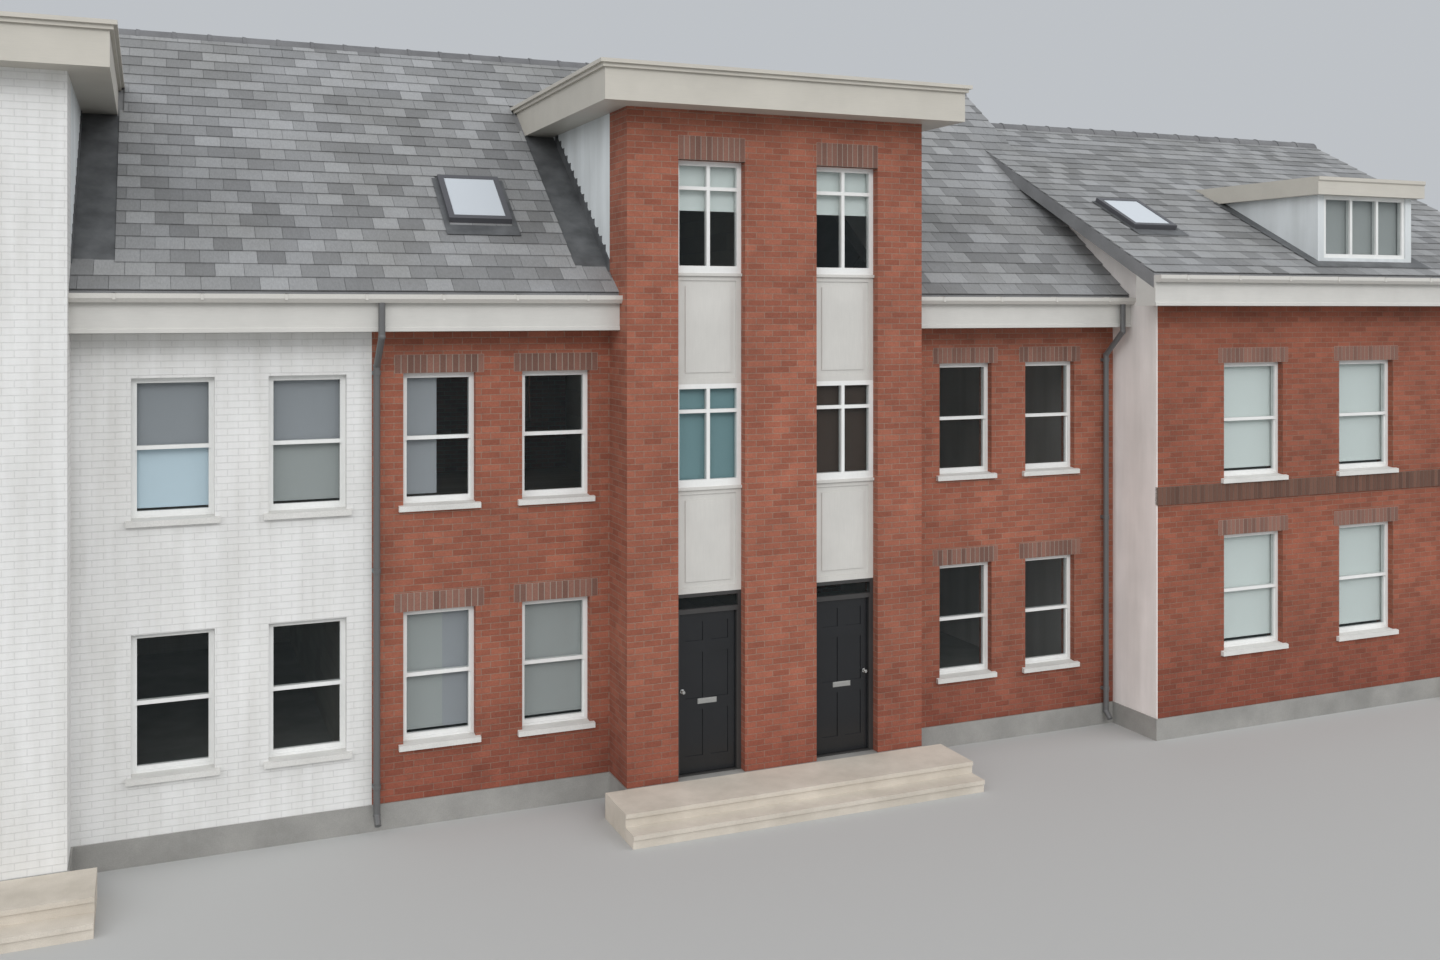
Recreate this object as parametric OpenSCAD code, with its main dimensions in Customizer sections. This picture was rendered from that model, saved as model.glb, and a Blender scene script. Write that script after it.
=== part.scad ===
// Terraced house row: a white pair and a brick pair, each sharing a three-storey tower, and an end house.
// X runs along the street, Y goes back from the front, Z is up. The street is at Z = 0.

/* [Row] */
// Width of each white wing
white_wing_w = 3100; // [2700:50:3800]
// Width of the brick wing left of its tower
brick_left_w = 2850; // [2600:50:3600]
// Width of the brick wing right of its tower
brick_right_w = 3600; // [2900:50:4200]
// Width of each tower
tower_w = 4030; // [3800:10:4600]
// Width of the end house
end_w = 7900; // [7200:50:9000]
// Depth of the wings, front face to rear face
house_d = 8600; // [7600:50:9600]
// How far each tower stands forward of the wings
tower_out = 650; // [500:10:900]
// How far the end house stands forward of the wings
end_out = 920; // [750:10:1200]

/* [Walls and floors] */
// Thickness of the outer walls
wall_t = 300; // [260:5:350]
// Thickness of the party walls
party_t = 250; // [200:5:300]
// Height of the plinth and the ground floor
plinth_h = 300; // [200:10:450]
// How far the plinth stands proud of the walls
plinth_out = 20; // [10:1:30]
// Floor to floor height
storey_h = 2750; // [2650:10:3000]
// Thickness of the upper floors
floor_t = 250; // [200:5:300]

/* [Roofs] */
// Height of the slates at the wing eaves
eaves_z = 6150; // [6050:10:6400]
// Height of the wing ridge
ridge_z = 9740; // [9300:10:10200]
// How far the end house eaves are above the wing eaves
eaves_step = 300; // [200:10:400]
// How far the end house ridge is below the wing ridge
ridge_step = 630; // [400:10:800]
// Thickness of each roof slope
roof_t = 180; // [150:5:220]
// Overhang of the sloping eaves
eaves_out = 350; // [250:10:420]
// Overhang of the end house roof over the wing beside it
verge_out = 350; // [250:10:400]
// Overhang of the wing roof past its gable
gable_out = 60; // [30:5:100]
// Height of the fascias
fascia_h = 440; // [380:10:480]
// Thickness of the fascia and soffit boards
board_t = 30; // [20:1:40]
// How far the tower wall top is below the wing ridge
tower_drop = 1380; // [1250:10:1500]
// Overhang of the tower roof
tower_eaves_out = 400; // [300:10:480]
// Thickness of the tower cheeks
cheek_t = 200; // [150:5:250]
// Thickness of the gable over the end house roof
gable_t = 200; // [150:5:250]

/* [Windows] */
// Width of a wing window
window_w = 840; // [700:10:950]
// Height of a wing window
window_h = 1510; // [1300:10:1600]
// Height of a wing sill above its floor
sill_up = 660; // [550:10:750]
// Distance between the two windows of a wing
window_pitch = 1400; // [1250:10:1500]
// How far a white wing's windows sit off its middle, away from the tower
window_shift = 150; // [0:10:200]
// How far the left brick wing's windows sit off its middle, towards the tower
brick_shift = 50; // [0:10:120]
// Width of an end house window
end_window_w = 1100; // [950:10:1200]
// Height of an end house window
end_window_h = 1620; // [1450:10:1650]
// Distance between the end house windows
end_window_pitch = 2200; // [1900:10:2400]
// Depth of a window frame, front to back
frame_d = 75; // [65:1:90]
// Width of a frame member
frame_w = 58; // [48:1:70]
// How far a window sits back from the wall face
reveal = 95; // [80:1:110]
// Thickness of the glass
glass_t = 8; // [6:1:12]
// Height of a sill
sill_h = 80; // [65:1:100]
// How far a sill stands out from the wall
sill_out = 55; // [40:1:70]

/* [Tower strips] */
// Width of each window and door strip
strip_w = 875; // [820:5:950]
// Width of each outer pier
pier_w = 650; // [600:10:750]
// How far the strips sit back from the tower face
strip_back = 120; // [100:5:150]
// Height of the door frame above the landing
door_frame_h = 2210; // [2150:10:2300]
// Sill height of the middle window
mid_sill_z = 3800; // [3700:10:3900]
// Height of the middle window
mid_window_h = 1250; // [1150:10:1350]
// Height of wall over the top window
top_wall_h = 600; // [500:10:700]
// Height of the top window
top_window_h = 1360; // [1250:10:1450]

/* [Doors] */
// Height of a door leaf
leaf_h = 1950; // [1900:5:2000]
// Thickness of a door leaf
leaf_t = 44; // [40:1:50]
// Gap between a leaf and its frame
leaf_gap = 7; // [6:1:9]
// Height of the threshold
threshold_h = 15; // [10:1:20]
// Radius of a hinge knuckle
knuckle_r = 8; // [6:0.5:10]
// Depth of the stone landing in front of a tower
landing_d = 750; // [600:10:1000]
// How far a landing runs past its tower on each side
landing_out = 275; // [0:5:350]
// Height of a stone step
step_h = 150; // [120:5:180]
// Depth of the lower step
tread_d = 280; // [250:10:320]

/* [Roof fittings] */
// Width of a rooflight
rooflight_w = 780; // [660:10:940]
// Length of a rooflight up the slope
rooflight_l = 980; // [780:10:1180]
// Height of the dormer window
dormer_window_h = 920; // [850:5:1050]
// Width of the dormer
dormer_w = 1900; // [1600:10:2100]
// Width of the lead gutter beside each cheek
lead_w = 420; // [250:10:500]
// Radius of the downpipes
pipe_r = 38; // [32:1:50]
// Width of the gutters
gutter_w = 115; // [100:1:130]

/* [Hidden] */

// Places along the row
white_tower_x = white_wing_w;
white_right_x = white_tower_x + tower_w;
brick_x = white_right_x + white_wing_w;
brick_tower_x = brick_x + brick_left_w;
brick_right_x = brick_tower_x + tower_w;
end_x = brick_right_x + brick_right_w;
row_w = end_x + end_w;
white_mid_x = white_tower_x + tower_w / 2;
brick_mid_x = brick_tower_x + tower_w / 2;
end_mid_x = end_x + end_w / 2;

// Each tower's left edge, and each wing as [left edge, right edge, shift of its windows]
towers = [white_tower_x, brick_tower_x];
white_wings = [[0, white_tower_x, -window_shift], [white_right_x, brick_x, window_shift]];
brick_wings = [[brick_x, brick_tower_x, brick_shift], [brick_right_x, end_x, 0]];

// Places from front to back
tower_y = -tower_out;
end_y = -end_out;
rear_y = house_d;
ridge_y = house_d / 2;
end_ridge_y = (house_d + end_y) / 2;
inner_front_y = wall_t;
inner_rear_y = rear_y - wall_t;
strip_y = tower_y + strip_back;
landing_y = tower_y - landing_d;
row_front_y = landing_y - tread_d;
row_rear_y = rear_y + eaves_out + board_t + gutter_w;

// Floors
ground_z = plinth_h;
first_z = ground_z + storey_h;
second_z = first_z + storey_h;
floors = [ground_z, first_z];

// Heights that follow the wing ridge and the wing eaves
end_ridge_z = ridge_z - ridge_step;
end_eaves_z = eaves_z + eaves_step;
tower_top_z = ridge_z - tower_drop;
top_sill_z = tower_top_z - top_wall_h - top_window_h;

// Slope of each roof, and the height of its slates and of the walls under it at a distance from the front
seat = 0.3;
main_eaves_y = -eaves_out;
end_eaves_y = end_y - eaves_out;
main_fall = (ridge_z - eaves_z) / (ridge_y - main_eaves_y);
end_fall = (end_ridge_z - end_eaves_z) / (end_ridge_y - end_eaves_y);
main_angle = atan(main_fall);
end_angle = atan(end_fall);
main_drop = roof_t / cos(main_angle);
end_drop = roof_t / cos(end_angle);
function main_top(y) = ridge_z - abs(y - ridge_y) * main_fall;
function end_top(y) = end_ridge_z - abs(y - end_ridge_y) * end_fall;
function main_under(y) = main_top(y) - main_drop - seat;
function end_under(y) = end_top(y) - end_drop - seat;
// Where the wing slope reaches a height
function main_reach(z) = ridge_y - (ridge_z - z) / main_fall;

// Tower roof
tower_roof_t = 60;
tower_fascia_h = 460;
tower_roof_z = tower_top_z + tower_fascia_h;
tower_deck_z = tower_roof_z - tower_roof_t;
tower_back_y = main_reach(tower_roof_z);

// Strip centres from a tower's left edge
strip_xs = [pier_w + strip_w / 2, tower_w - pier_w - strip_w / 2];
mid_pier_w = tower_w - 2 * pier_w - 2 * strip_w;

// Window rows as [sill height]
wing_sills = [ground_z + sill_up, first_z + sill_up];
end_ground_sill_z = ground_z + 840;
end_first_sill_z = first_z + 530;
end_door_w = 950;
end_door_h = door_frame_h;
end_bays = [-end_window_pitch, 0, end_window_pitch];
door_bay = end_window_pitch;
rear_window_w = 1000;
rear_window_h = 1150;
rear_sill_up = 950;
rear_door_w = 950;

// Small sizes shared by several pieces
coat_t = 15;
sash_step = 22;
rail_w = 44;
stool_end = 55;
clear = 5;
letter_z = 1000;
gutter_drop = 25;
gutter_h = 95;
gutter_wall = 6;
bracket_gap = 30;
pipe_fn = 32;

// Row moved so that the origin is under the middle of its box
shift = [-row_w / 2, -(row_front_y + row_rear_y) / 2, 0];

// A box between two corners
module box(x0, x1, y0, y1, z0, z1) {
    translate([x0, y0, z0]) cube([x1 - x0, y1 - y0, z1 - z0]);
}

// A profile of [y, z] points drawn out along X
module along_x(x0, x1, points) {
    translate([x0, 0, 0]) rotate([90, 0, 90]) linear_extrude(x1 - x0) polygon(points);
}

// A wall along X between heights, its top cut to the underside of a roof
module front_wall(x0, x1, y0, under_front, under_back) {
    along_x(x0, x1, [[y0, plinth_h], [y0 + wall_t, plinth_h], [y0 + wall_t, under_back], [y0, under_front]]);
}

// A window hole through a wall along X, with room for its sill
module hole(xc, w, y0, z0, h) {
    box(xc - w / 2, xc + w / 2, y0 - 1, y0 + wall_t + 1, z0 - sill_h, z0 + h);
}

// A door hole through a wall along X
module door_hole(xc, w, y0, h) {
    box(xc - w / 2, xc + w / 2, y0 - 1, y0 + wall_t + 1, plinth_h - 1, plinth_h + h);
}

// Positions of a wing's two windows
function wing_window_xs(wing) = let (xc = (wing[0] + wing[1]) / 2 + wing[2])
    [xc - window_pitch / 2, xc + window_pitch / 2];

module wing_front_wall(wing) {
    difference() {
        front_wall(wing[0], wing[1], 0, main_under(0), main_under(wall_t));
        for (xc = wing_window_xs(wing), z = wing_sills) hole(xc, window_w, 0, z, window_h);
    }
}

module white_front_walls() {
    color("whitesmoke") for (wing = white_wings) wing_front_wall(wing);
}

module brick_front_walls() {
    color("sienna") for (wing = brick_wings) wing_front_wall(wing);
}

module end_front_wall() {
    color("sienna") difference() {
        front_wall(end_x + coat_t, row_w, end_y, end_under(end_y), end_under(end_y + wall_t));
        for (bay = end_bays) hole(end_mid_x + bay, end_window_w, end_y, end_first_sill_z, end_window_h);
        for (bay = [-end_window_pitch, 0]) {
            hole(end_mid_x + bay, end_window_w, end_y, end_ground_sill_z, end_window_h);
        }
        door_hole(end_mid_x + door_bay, end_door_w, end_y, end_door_h);
    }
}

// Outer pier of a tower with its return to the wing wall, drawn for the left side
module side_pier() {
    box(0, pier_w, tower_y, tower_y + wall_t, plinth_h, tower_top_z);
    box(0, wall_t, tower_y, 0, plinth_h, tower_top_z);
    box(0, wall_t, tower_y, wall_t, plinth_h, main_under(0));
}

module tower_piers() {
    side_pier();
    translate([tower_w, 0, 0]) mirror([1, 0, 0]) side_pier();
    box(pier_w + strip_w, pier_w + strip_w + mid_pier_w, tower_y, tower_y + wall_t, plinth_h, tower_top_z);
}

// Brickwork over the two strips
module tower_heads() {
    for (xs = strip_xs) {
        box(xs - strip_w / 2, xs + strip_w / 2, tower_y, tower_y + wall_t, top_sill_z + top_window_h, tower_top_z);
    }
}

module white_tower_front() {
    color("whitesmoke") translate([white_tower_x, 0, 0]) {
        tower_piers();
        tower_heads();
    }
}

module brick_tower_piers() {
    color("sienna") translate([brick_tower_x, 0, 0]) tower_piers();
}

module brick_tower_head() {
    color("sienna") translate([brick_tower_x, 0, 0]) tower_heads();
}

// Side of a tower above the slates, from the wing wall back to where its roof meets the slope
module cheek() {
    along_x(0, cheek_t, [[0, main_top(0)], [main_reach(tower_top_z), tower_top_z], [0, tower_top_z]]);
}

module tower_cheeks() {
    color("gainsboro") for (x = towers) translate([x, 0, 0]) {
        cheek();
        translate([tower_w - cheek_t, 0, 0]) cheek();
    }
}

// Rear wall with upper windows at every place, lower windows at some and doors at others
module rear_wall(x0, x1, under_inner, under_outer, window_xs, door_xs) {
    difference() {
        along_x(x0, x1, [[inner_rear_y, plinth_h], [rear_y, plinth_h], [rear_y, under_outer], [inner_rear_y, under_inner]]);
        for (xc = concat(window_xs, door_xs)) hole(xc, rear_window_w, inner_rear_y, first_z + rear_sill_up, rear_window_h);
        for (xc = window_xs) hole(xc, rear_window_w, inner_rear_y, ground_z + rear_sill_up, rear_window_h);
        for (xc = door_xs) door_hole(xc, rear_door_w, inner_rear_y, end_door_h);
    }
}

// Rear openings of a pair, as distances either side of its party wall
rear_near = 1300;
rear_far = 3600;
white_rear_windows = [white_mid_x - rear_far, white_mid_x + rear_far];
white_rear_doors = [white_mid_x - rear_near, white_mid_x + rear_near];
brick_rear_windows = [brick_mid_x - rear_far, brick_mid_x + rear_far];
brick_rear_doors = [brick_mid_x - rear_near, brick_mid_x + rear_near];
end_rear_windows = [end_mid_x - end_window_pitch, end_mid_x];
end_rear_doors = [end_mid_x + door_bay];
rear_windows = concat(white_rear_windows, brick_rear_windows, end_rear_windows);
rear_door_xs = concat(white_rear_doors, brick_rear_doors, end_rear_doors);

module white_rear_wall() {
    color("whitesmoke") {
        rear_wall(0, brick_x, main_under(inner_rear_y), main_under(rear_y), white_rear_windows, white_rear_doors);
    }
}

module brick_rear_wall() {
    color("sienna") {
        rear_wall(brick_x, end_x, main_under(inner_rear_y), main_under(rear_y), brick_rear_windows, brick_rear_doors);
    }
}

module end_rear_wall() {
    color("sienna") {
        rear_wall(end_x + coat_t, row_w, end_under(inner_rear_y), end_under(rear_y), end_rear_windows, end_rear_doors);
    }
}

// Wall across the row under the wing roof, between the front and rear walls
module cross_wall(x0, y0) {
    along_x(x0, x0 + party_t, [[y0, plinth_h], [inner_rear_y, plinth_h], [inner_rear_y, main_under(inner_rear_y)],
        [ridge_y, main_under(ridge_y)], [inner_front_y, main_under(inner_front_y)], [y0, main_under(inner_front_y)]]);
}

// Party wall inside a tower, which runs out to its middle pier
module tower_party_wall(x0) {
    y0 = tower_y + wall_t;
    back_y = main_reach(tower_top_z);
    along_x(x0, x0 + party_t, [[y0, plinth_h], [inner_rear_y, plinth_h], [inner_rear_y, main_under(inner_rear_y)],
        [ridge_y, main_under(ridge_y)], [back_y, main_under(back_y)], [back_y, tower_deck_z], [y0, tower_deck_z]]);
}

module left_end_wall() {
    color("tan") cross_wall(0, inner_front_y);
}

module inner_party_walls() {
    color("tan") {
        tower_party_wall(white_mid_x - party_t / 2);
        cross_wall(brick_x - party_t / 2, inner_front_y);
        tower_party_wall(brick_mid_x - party_t / 2);
    }
}

// Party wall between the last wing and the end house, with a render coat that runs out to both corners
module end_left_wall() {
    y0 = end_y + wall_t;
    color("gainsboro") {
        along_x(end_x, end_x + party_t, [[inner_rear_y, plinth_h], [y0, plinth_h], [y0, end_under(y0)],
            [end_ridge_y, end_under(end_ridge_y)], [inner_rear_y, end_under(inner_rear_y)]]);
        along_x(end_x, end_x + coat_t, [[rear_y, plinth_h], [end_y, plinth_h], [end_y, end_under(end_y)],
            [end_ridge_y, end_under(end_ridge_y)], [rear_y, end_under(rear_y)]]);
    }
}

// Where the underside of the wing roof meets the end house slates, in front of and behind the ridges
gable_right_x = end_x + gable_t + gable_out;
gable_front_y = (end_top(0) - main_under(0)) / (main_fall - end_fall);
gable_rear_y = ridge_y + (main_under(ridge_y) - end_top(ridge_y)) / (main_fall - end_fall);

// Gable of the wing roof, which stands on the end house slates
module main_gable() {
    color("gainsboro") along_x(end_x, end_x + gable_t, [[gable_front_y, end_top(gable_front_y) + seat],
        [end_ridge_y, end_ridge_z + seat], [gable_rear_y, end_top(gable_rear_y) + seat],
        [ridge_y, main_under(ridge_y)]]);
}

module right_end_wall() {
    color("tan") along_x(row_w - party_t, row_w, [[end_y + wall_t, plinth_h], [inner_rear_y, plinth_h],
        [inner_rear_y, end_under(inner_rear_y)], [end_ridge_y, end_under(end_ridge_y)],
        [end_y + wall_t, end_under(end_y + wall_t)]]);
}

module row_plinth() {
    color("dimgray") {
        box(0, end_x, -plinth_out, wall_t, 0, plinth_h);
        box(0, end_x, inner_rear_y, rear_y + plinth_out, 0, plinth_h);
        for (x = [party_t / 2, white_mid_x, brick_x, brick_mid_x]) {
            box(x - party_t / 2, x + party_t / 2, wall_t, inner_rear_y, 0, plinth_h);
        }
    }
}

module tower_bases() {
    color("dimgray") for (x = towers) {
        box(x - plinth_out, x + tower_w + plinth_out, tower_y - plinth_out, -plinth_out, 0, plinth_h);
    }
}

module end_plinth() {
    color("dimgray") {
        box(end_x - plinth_out, row_w, end_y - plinth_out, end_y + wall_t, 0, plinth_h);
        box(end_x - plinth_out, end_x, end_y, -plinth_out, 0, plinth_h);
        box(end_x, row_w, inner_rear_y, rear_y + plinth_out, 0, plinth_h);
        for (x = [end_x, row_w - party_t]) box(x, x + party_t, end_y, inner_rear_y, 0, plinth_h);
    }
}

// Each house of a pair as [left wall, right wall, left of its tower bay, right of its tower bay]
half_party = party_t / 2;
pair_houses = [
    [party_t, white_mid_x - half_party, white_tower_x + wall_t, white_mid_x - half_party],
    [white_mid_x + half_party, brick_x - half_party, white_mid_x + half_party, white_right_x - wall_t],
    [brick_x + half_party, brick_mid_x - half_party, brick_tower_x + wall_t, brick_mid_x - half_party],
    [brick_mid_x + half_party, end_x, brick_mid_x + half_party, brick_right_x - wall_t]];

module ground_floors() {
    color("darkgray") {
        for (house = pair_houses) box(house[0], house[1], inner_front_y, inner_rear_y, 0, ground_z);
        box(end_x + party_t, row_w - party_t, end_y + wall_t, inner_rear_y, 0, ground_z);
    }
}

// An upper floor of all five houses, running out into each tower
module upper_floors(z1) {
    z0 = z1 - floor_t;
    for (house = pair_houses) {
        box(house[0], house[1], inner_front_y, inner_rear_y, z0, z1);
        box(house[2], house[3], tower_y + wall_t, inner_front_y, z0, z1);
    }
    box(end_x + party_t, row_w - party_t, end_y + wall_t, inner_rear_y, z0, z1);
}

module first_floors() {
    color("burlywood") upper_floors(first_z);
}

module second_floors() {
    color("burlywood") upper_floors(second_z);
}

// Landing and lower step in front of a tower, with a nosing on each edge
module landing() {
    nosing = 20;
    x0 = -landing_out;
    x1 = tower_w + landing_out;
    front_y = tower_y - plinth_out;
    along_x(x0, x1, [[front_y, 0], [front_y, plinth_h], [landing_y - nosing, plinth_h],
        [landing_y - nosing, plinth_h - 50], [landing_y, plinth_h - 50], [landing_y, step_h],
        [landing_y - tread_d, step_h], [landing_y - tread_d, step_h - 50],
        [landing_y - tread_d + nosing, step_h - 50], [landing_y - tread_d + nosing, 0]]);
}

module end_step() {
    front_y = end_y - plinth_out;
    half_w = end_door_w / 2 + 125;
    xc = end_mid_x + door_bay;
    box(xc - half_w, xc + half_w, front_y - 300, front_y, 0, plinth_h);
    box(xc - half_w, xc + half_w, front_y - 580, front_y - 300, 0, step_h);
}

module rear_step(xc) {
    box(xc - 600, xc + 600, rear_y + plinth_out, rear_y + 350, 0, step_h);
}

module landings() {
    color("antiquewhite") {
        for (x = towers) translate([x, 0, 0]) landing();
        end_step();
        for (xc = rear_door_xs) rear_step(xc);
    }
}

module string_course() {
    band_h = 250;
    band_out = 25;
    z1 = end_first_sill_z - sill_h;
    color("saddlebrown") box(end_x, row_w, end_y - band_out, end_y, z1 - band_h, z1);
}

// One roof slope as [y, z] points, from its eaves to its ridge
function slope_points(y_eaves, y_ridge, z_eaves, z_ridge, drop) = [[y_eaves, z_eaves - drop], [y_ridge, z_ridge - drop],
    [y_ridge, z_ridge], [y_eaves, z_eaves]];

// Everything under the end house slates beside the gable
module under_end_slates() {
    y1 = 2 * end_ridge_y - end_eaves_y;
    along_x(end_x, gable_right_x + 1, [[end_eaves_y, 0], [y1, 0], [y1, end_eaves_z + seat],
        [end_ridge_y, end_ridge_z + seat], [end_eaves_y, end_eaves_z + seat]]);
}

module main_roof_front() {
    color("gray") difference() {
        along_x(0, gable_right_x, slope_points(main_eaves_y, ridge_y, eaves_z, ridge_z, main_drop));
        under_end_slates();
        for (x = towers) {
            box(x, x + tower_w, main_eaves_y - 1, 0, 0, ridge_z);
            box(x + cheek_t, x + tower_w - cheek_t, -1, main_reach(tower_top_z), 0, tower_top_z + 1);
        }
        on_slope(brick_rooflight_x, brick_rooflight_y, main_top(brick_rooflight_y), main_angle) rooflight_hole();
    }
}

module main_roof_rear() {
    color("gray") difference() {
        along_x(0, gable_right_x, slope_points(2 * ridge_y - main_eaves_y, ridge_y, eaves_z, ridge_z, main_drop));
        under_end_slates();
    }
}

// Its left verge hangs over the wing and dies into the wing slates
module end_roof_front() {
    color("gray") difference() {
        along_x(end_x - verge_out, row_w,
            slope_points(end_eaves_y, end_ridge_y, end_eaves_z, end_ridge_z, end_drop));
        along_x(end_x - verge_out - 1, end_x, [[0, 0], [ridge_y, 0], [ridge_y, ridge_z + seat],
            [0, main_top(0) + seat]]);
        box(end_mid_x - dormer_side, end_mid_x + dormer_side, dormer_y + dormer_wall_t, end_reach(dormer_wall_z), 0,
            ridge_z);
        on_slope(end_rooflight_x, end_rooflight_y, end_top(end_rooflight_y), end_angle) rooflight_hole();
    }
}

module end_roof_rear() {
    color("gray") along_x(end_x, row_w,
        slope_points(2 * end_ridge_y - end_eaves_y, end_ridge_y, end_eaves_z, end_ridge_z, end_drop));
}

// Ridge tiles as a half round over both slopes
module ridge_line(x0, x1, y, z, fall) {
    tile_r = 130;
    tile_t = 18;
    foot = tile_r * fall;
    color("dimgray") difference() {
        translate([x0, y, z - foot]) rotate([0, 90, 0]) cylinder(r = tile_r, h = x1 - x0, $fn = 48);
        along_x(x0 - 1, x1 + 1, [[y, z + seat], [y + 3 * tile_r, z + seat - 3 * foot],
            [y - 3 * tile_r, z + seat - 3 * foot]]);
        box(x0 - 1, x1 + 1, y - 2 * tile_r, y + 2 * tile_r, z - 3 * tile_r, z - foot + tile_t);
    }
}

module ridge_tiles() {
    ridge_line(0, gable_right_x, ridge_y, ridge_z, main_fall);
    ridge_line(gable_right_x + seat, row_w, end_ridge_y, end_ridge_z, end_fall);
}

// Flat roof of a tower, its back edge cut to the slates
module tower_roof_deck() {
    z0 = tower_deck_z;
    x0 = -tower_eaves_out + board_t;
    x1 = tower_w + tower_eaves_out - board_t;
    y0 = tower_y - tower_eaves_out + board_t;
    along_x(x0, x1, [[y0, z0], [main_reach(z0) - seat, z0], [main_reach(tower_roof_z) - seat, tower_roof_z],
        [y0, tower_roof_z]]);
}

module tower_roof_decks() {
    color("slategray") for (x = towers) translate([x, 0, 0]) tower_roof_deck();
}

// Fascia and soffit round a tower roof, moulded at the top, and cut back where it meets the slates
module tower_fascia() {
    crown_out = 35;
    crown_h = 90;
    z1 = tower_roof_z;
    deck_z = tower_deck_z;
    x0 = -tower_eaves_out;
    x1 = tower_w + tower_eaves_out;
    y0 = tower_y - tower_eaves_out;
    difference() {
        union() {
            box(x0, x1, y0, tower_back_y, tower_top_z, z1);
            box(x0 - crown_out, x1 + crown_out, y0 - crown_out, tower_back_y, z1 - crown_h, z1 - crown_h / 2);
            box(x0 - 2 * crown_out, x1 + 2 * crown_out, y0 - 2 * crown_out, tower_back_y, z1 - crown_h / 2, z1);
        }
        box(x0 + board_t, x1 - board_t, y0 + board_t, tower_back_y + 1, tower_top_z + board_t, z1 + 1);
        box(0, tower_w, tower_y, tower_back_y + 1, tower_top_z - 1, deck_z);
        along_x(x0 - 200, x1 + 200, [[main_eaves_y, 0], [rear_y, 0], [ridge_y, ridge_z], [main_eaves_y, eaves_z]]);
    }
}

// Blocking pieces that carry the deck over the walls
module tower_wall_plate() {
    deck_z = tower_deck_z;
    plate_w = 100;
    box(0, tower_w, tower_y, tower_y + plate_w, tower_top_z, deck_z);
    for (x = [0, tower_w - plate_w]) {
        along_x(x, x + plate_w, [[tower_y, tower_top_z], [main_reach(tower_top_z), tower_top_z],
            [main_reach(deck_z), deck_z], [tower_y, deck_z]]);
    }
}

module tower_fascias() {
    color("antiquewhite") for (x = towers) translate([x, 0, 0]) {
        tower_fascia();
        tower_wall_plate();
    }
}

// Boxed eaves in front of a sloping roof: a moulded fascia board and a soffit board, with closed ends
module eaves_box(x0, x1, wall_y, y_eaves, z_eaves, fall, drop) {
    z0 = z_eaves - fascia_h;
    bead = 12;
    under = z_eaves - drop - seat;
    along_x(x0, x1, [[wall_y, z0], [y_eaves - board_t - bead, z0], [y_eaves - board_t - bead, z0 + 40],
        [y_eaves - board_t, z0 + 40 + bead], [y_eaves - board_t, z_eaves - 30], [y_eaves, z_eaves - 30],
        [y_eaves, z0 + board_t], [wall_y, z0 + board_t]]);
    for (x = [x0, x1 - board_t]) {
        along_x(x, x + board_t, [[wall_y, z0], [y_eaves, z0], [y_eaves, under], [wall_y, under + (wall_y - y_eaves) * fall]]);
    }
}

module front_fascias() {
    color("antiquewhite") {
        eaves_box(0, white_tower_x, 0, main_eaves_y, eaves_z, main_fall, main_drop);
        eaves_box(white_right_x, brick_tower_x, 0, main_eaves_y, eaves_z, main_fall, main_drop);
        eaves_box(brick_right_x, end_x, 0, main_eaves_y, eaves_z, main_fall, main_drop);
        eaves_box(end_x - verge_out, row_w, end_y, end_eaves_y, end_eaves_z, end_fall, end_drop);
        box(end_x - verge_out + board_t, end_x, end_y - board_t, end_y, end_eaves_z - fascia_h + board_t,
            end_eaves_z - end_drop - seat + (end_y - board_t - end_eaves_y) * end_fall);
    }
}

// Moves a front eaves piece to the rear
module to_rear() {
    translate([0, rear_y, 0]) mirror([0, 1, 0]) children();
}

rear_gap = 20;
module rear_fascias() {
    color("antiquewhite") to_rear() {
        eaves_box(0, end_x, 0, main_eaves_y, eaves_z, main_fall, main_drop);
        eaves_box(end_x + rear_gap, row_w, 0, main_eaves_y, end_eaves_z, end_fall, end_drop);
    }
}

// Square gutter on a fascia, with stop ends
module gutter(x0, x1, y_eaves, z_eaves) {
    y1 = y_eaves - board_t;
    z1 = z_eaves - gutter_drop;
    difference() {
        along_x(x0, x1, [[y1, z1 - gutter_h], [y1 - gutter_w + 35, z1 - gutter_h], [y1 - gutter_w, z1 - gutter_h + 45],
            [y1 - gutter_w, z1], [y1, z1]]);
        along_x(x0 + gutter_wall, x1 - gutter_wall, [[y1 - gutter_wall, z1 - gutter_h + gutter_wall],
            [y1 - gutter_w + 38, z1 - gutter_h + gutter_wall], [y1 - gutter_w + gutter_wall, z1 - gutter_h + 50],
            [y1 - gutter_w + gutter_wall, z1 + 1], [y1 - gutter_wall, z1 + 1]]);
    }
}

module gutters() {
    color("ivory") {
        gutter(0, white_tower_x, main_eaves_y, eaves_z);
        gutter(white_right_x, brick_tower_x, main_eaves_y, eaves_z);
        gutter(brick_right_x, end_x, main_eaves_y, eaves_z);
        gutter(end_x - verge_out, row_w, end_eaves_y, end_eaves_z);
        to_rear() {
            gutter(0, end_x, main_eaves_y, eaves_z);
            gutter(end_x + rear_gap, row_w, main_eaves_y, end_eaves_z);
        }
    }
}

// Round pipe between two points
module pipe(a, b) {
    d = b - a;
    length = norm(d);
    translate(a) rotate([0, acos(d[2] / length), atan2(d[1], d[0])]) cylinder(r = pipe_r, h = length, $fn = pipe_fn);
}

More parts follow.
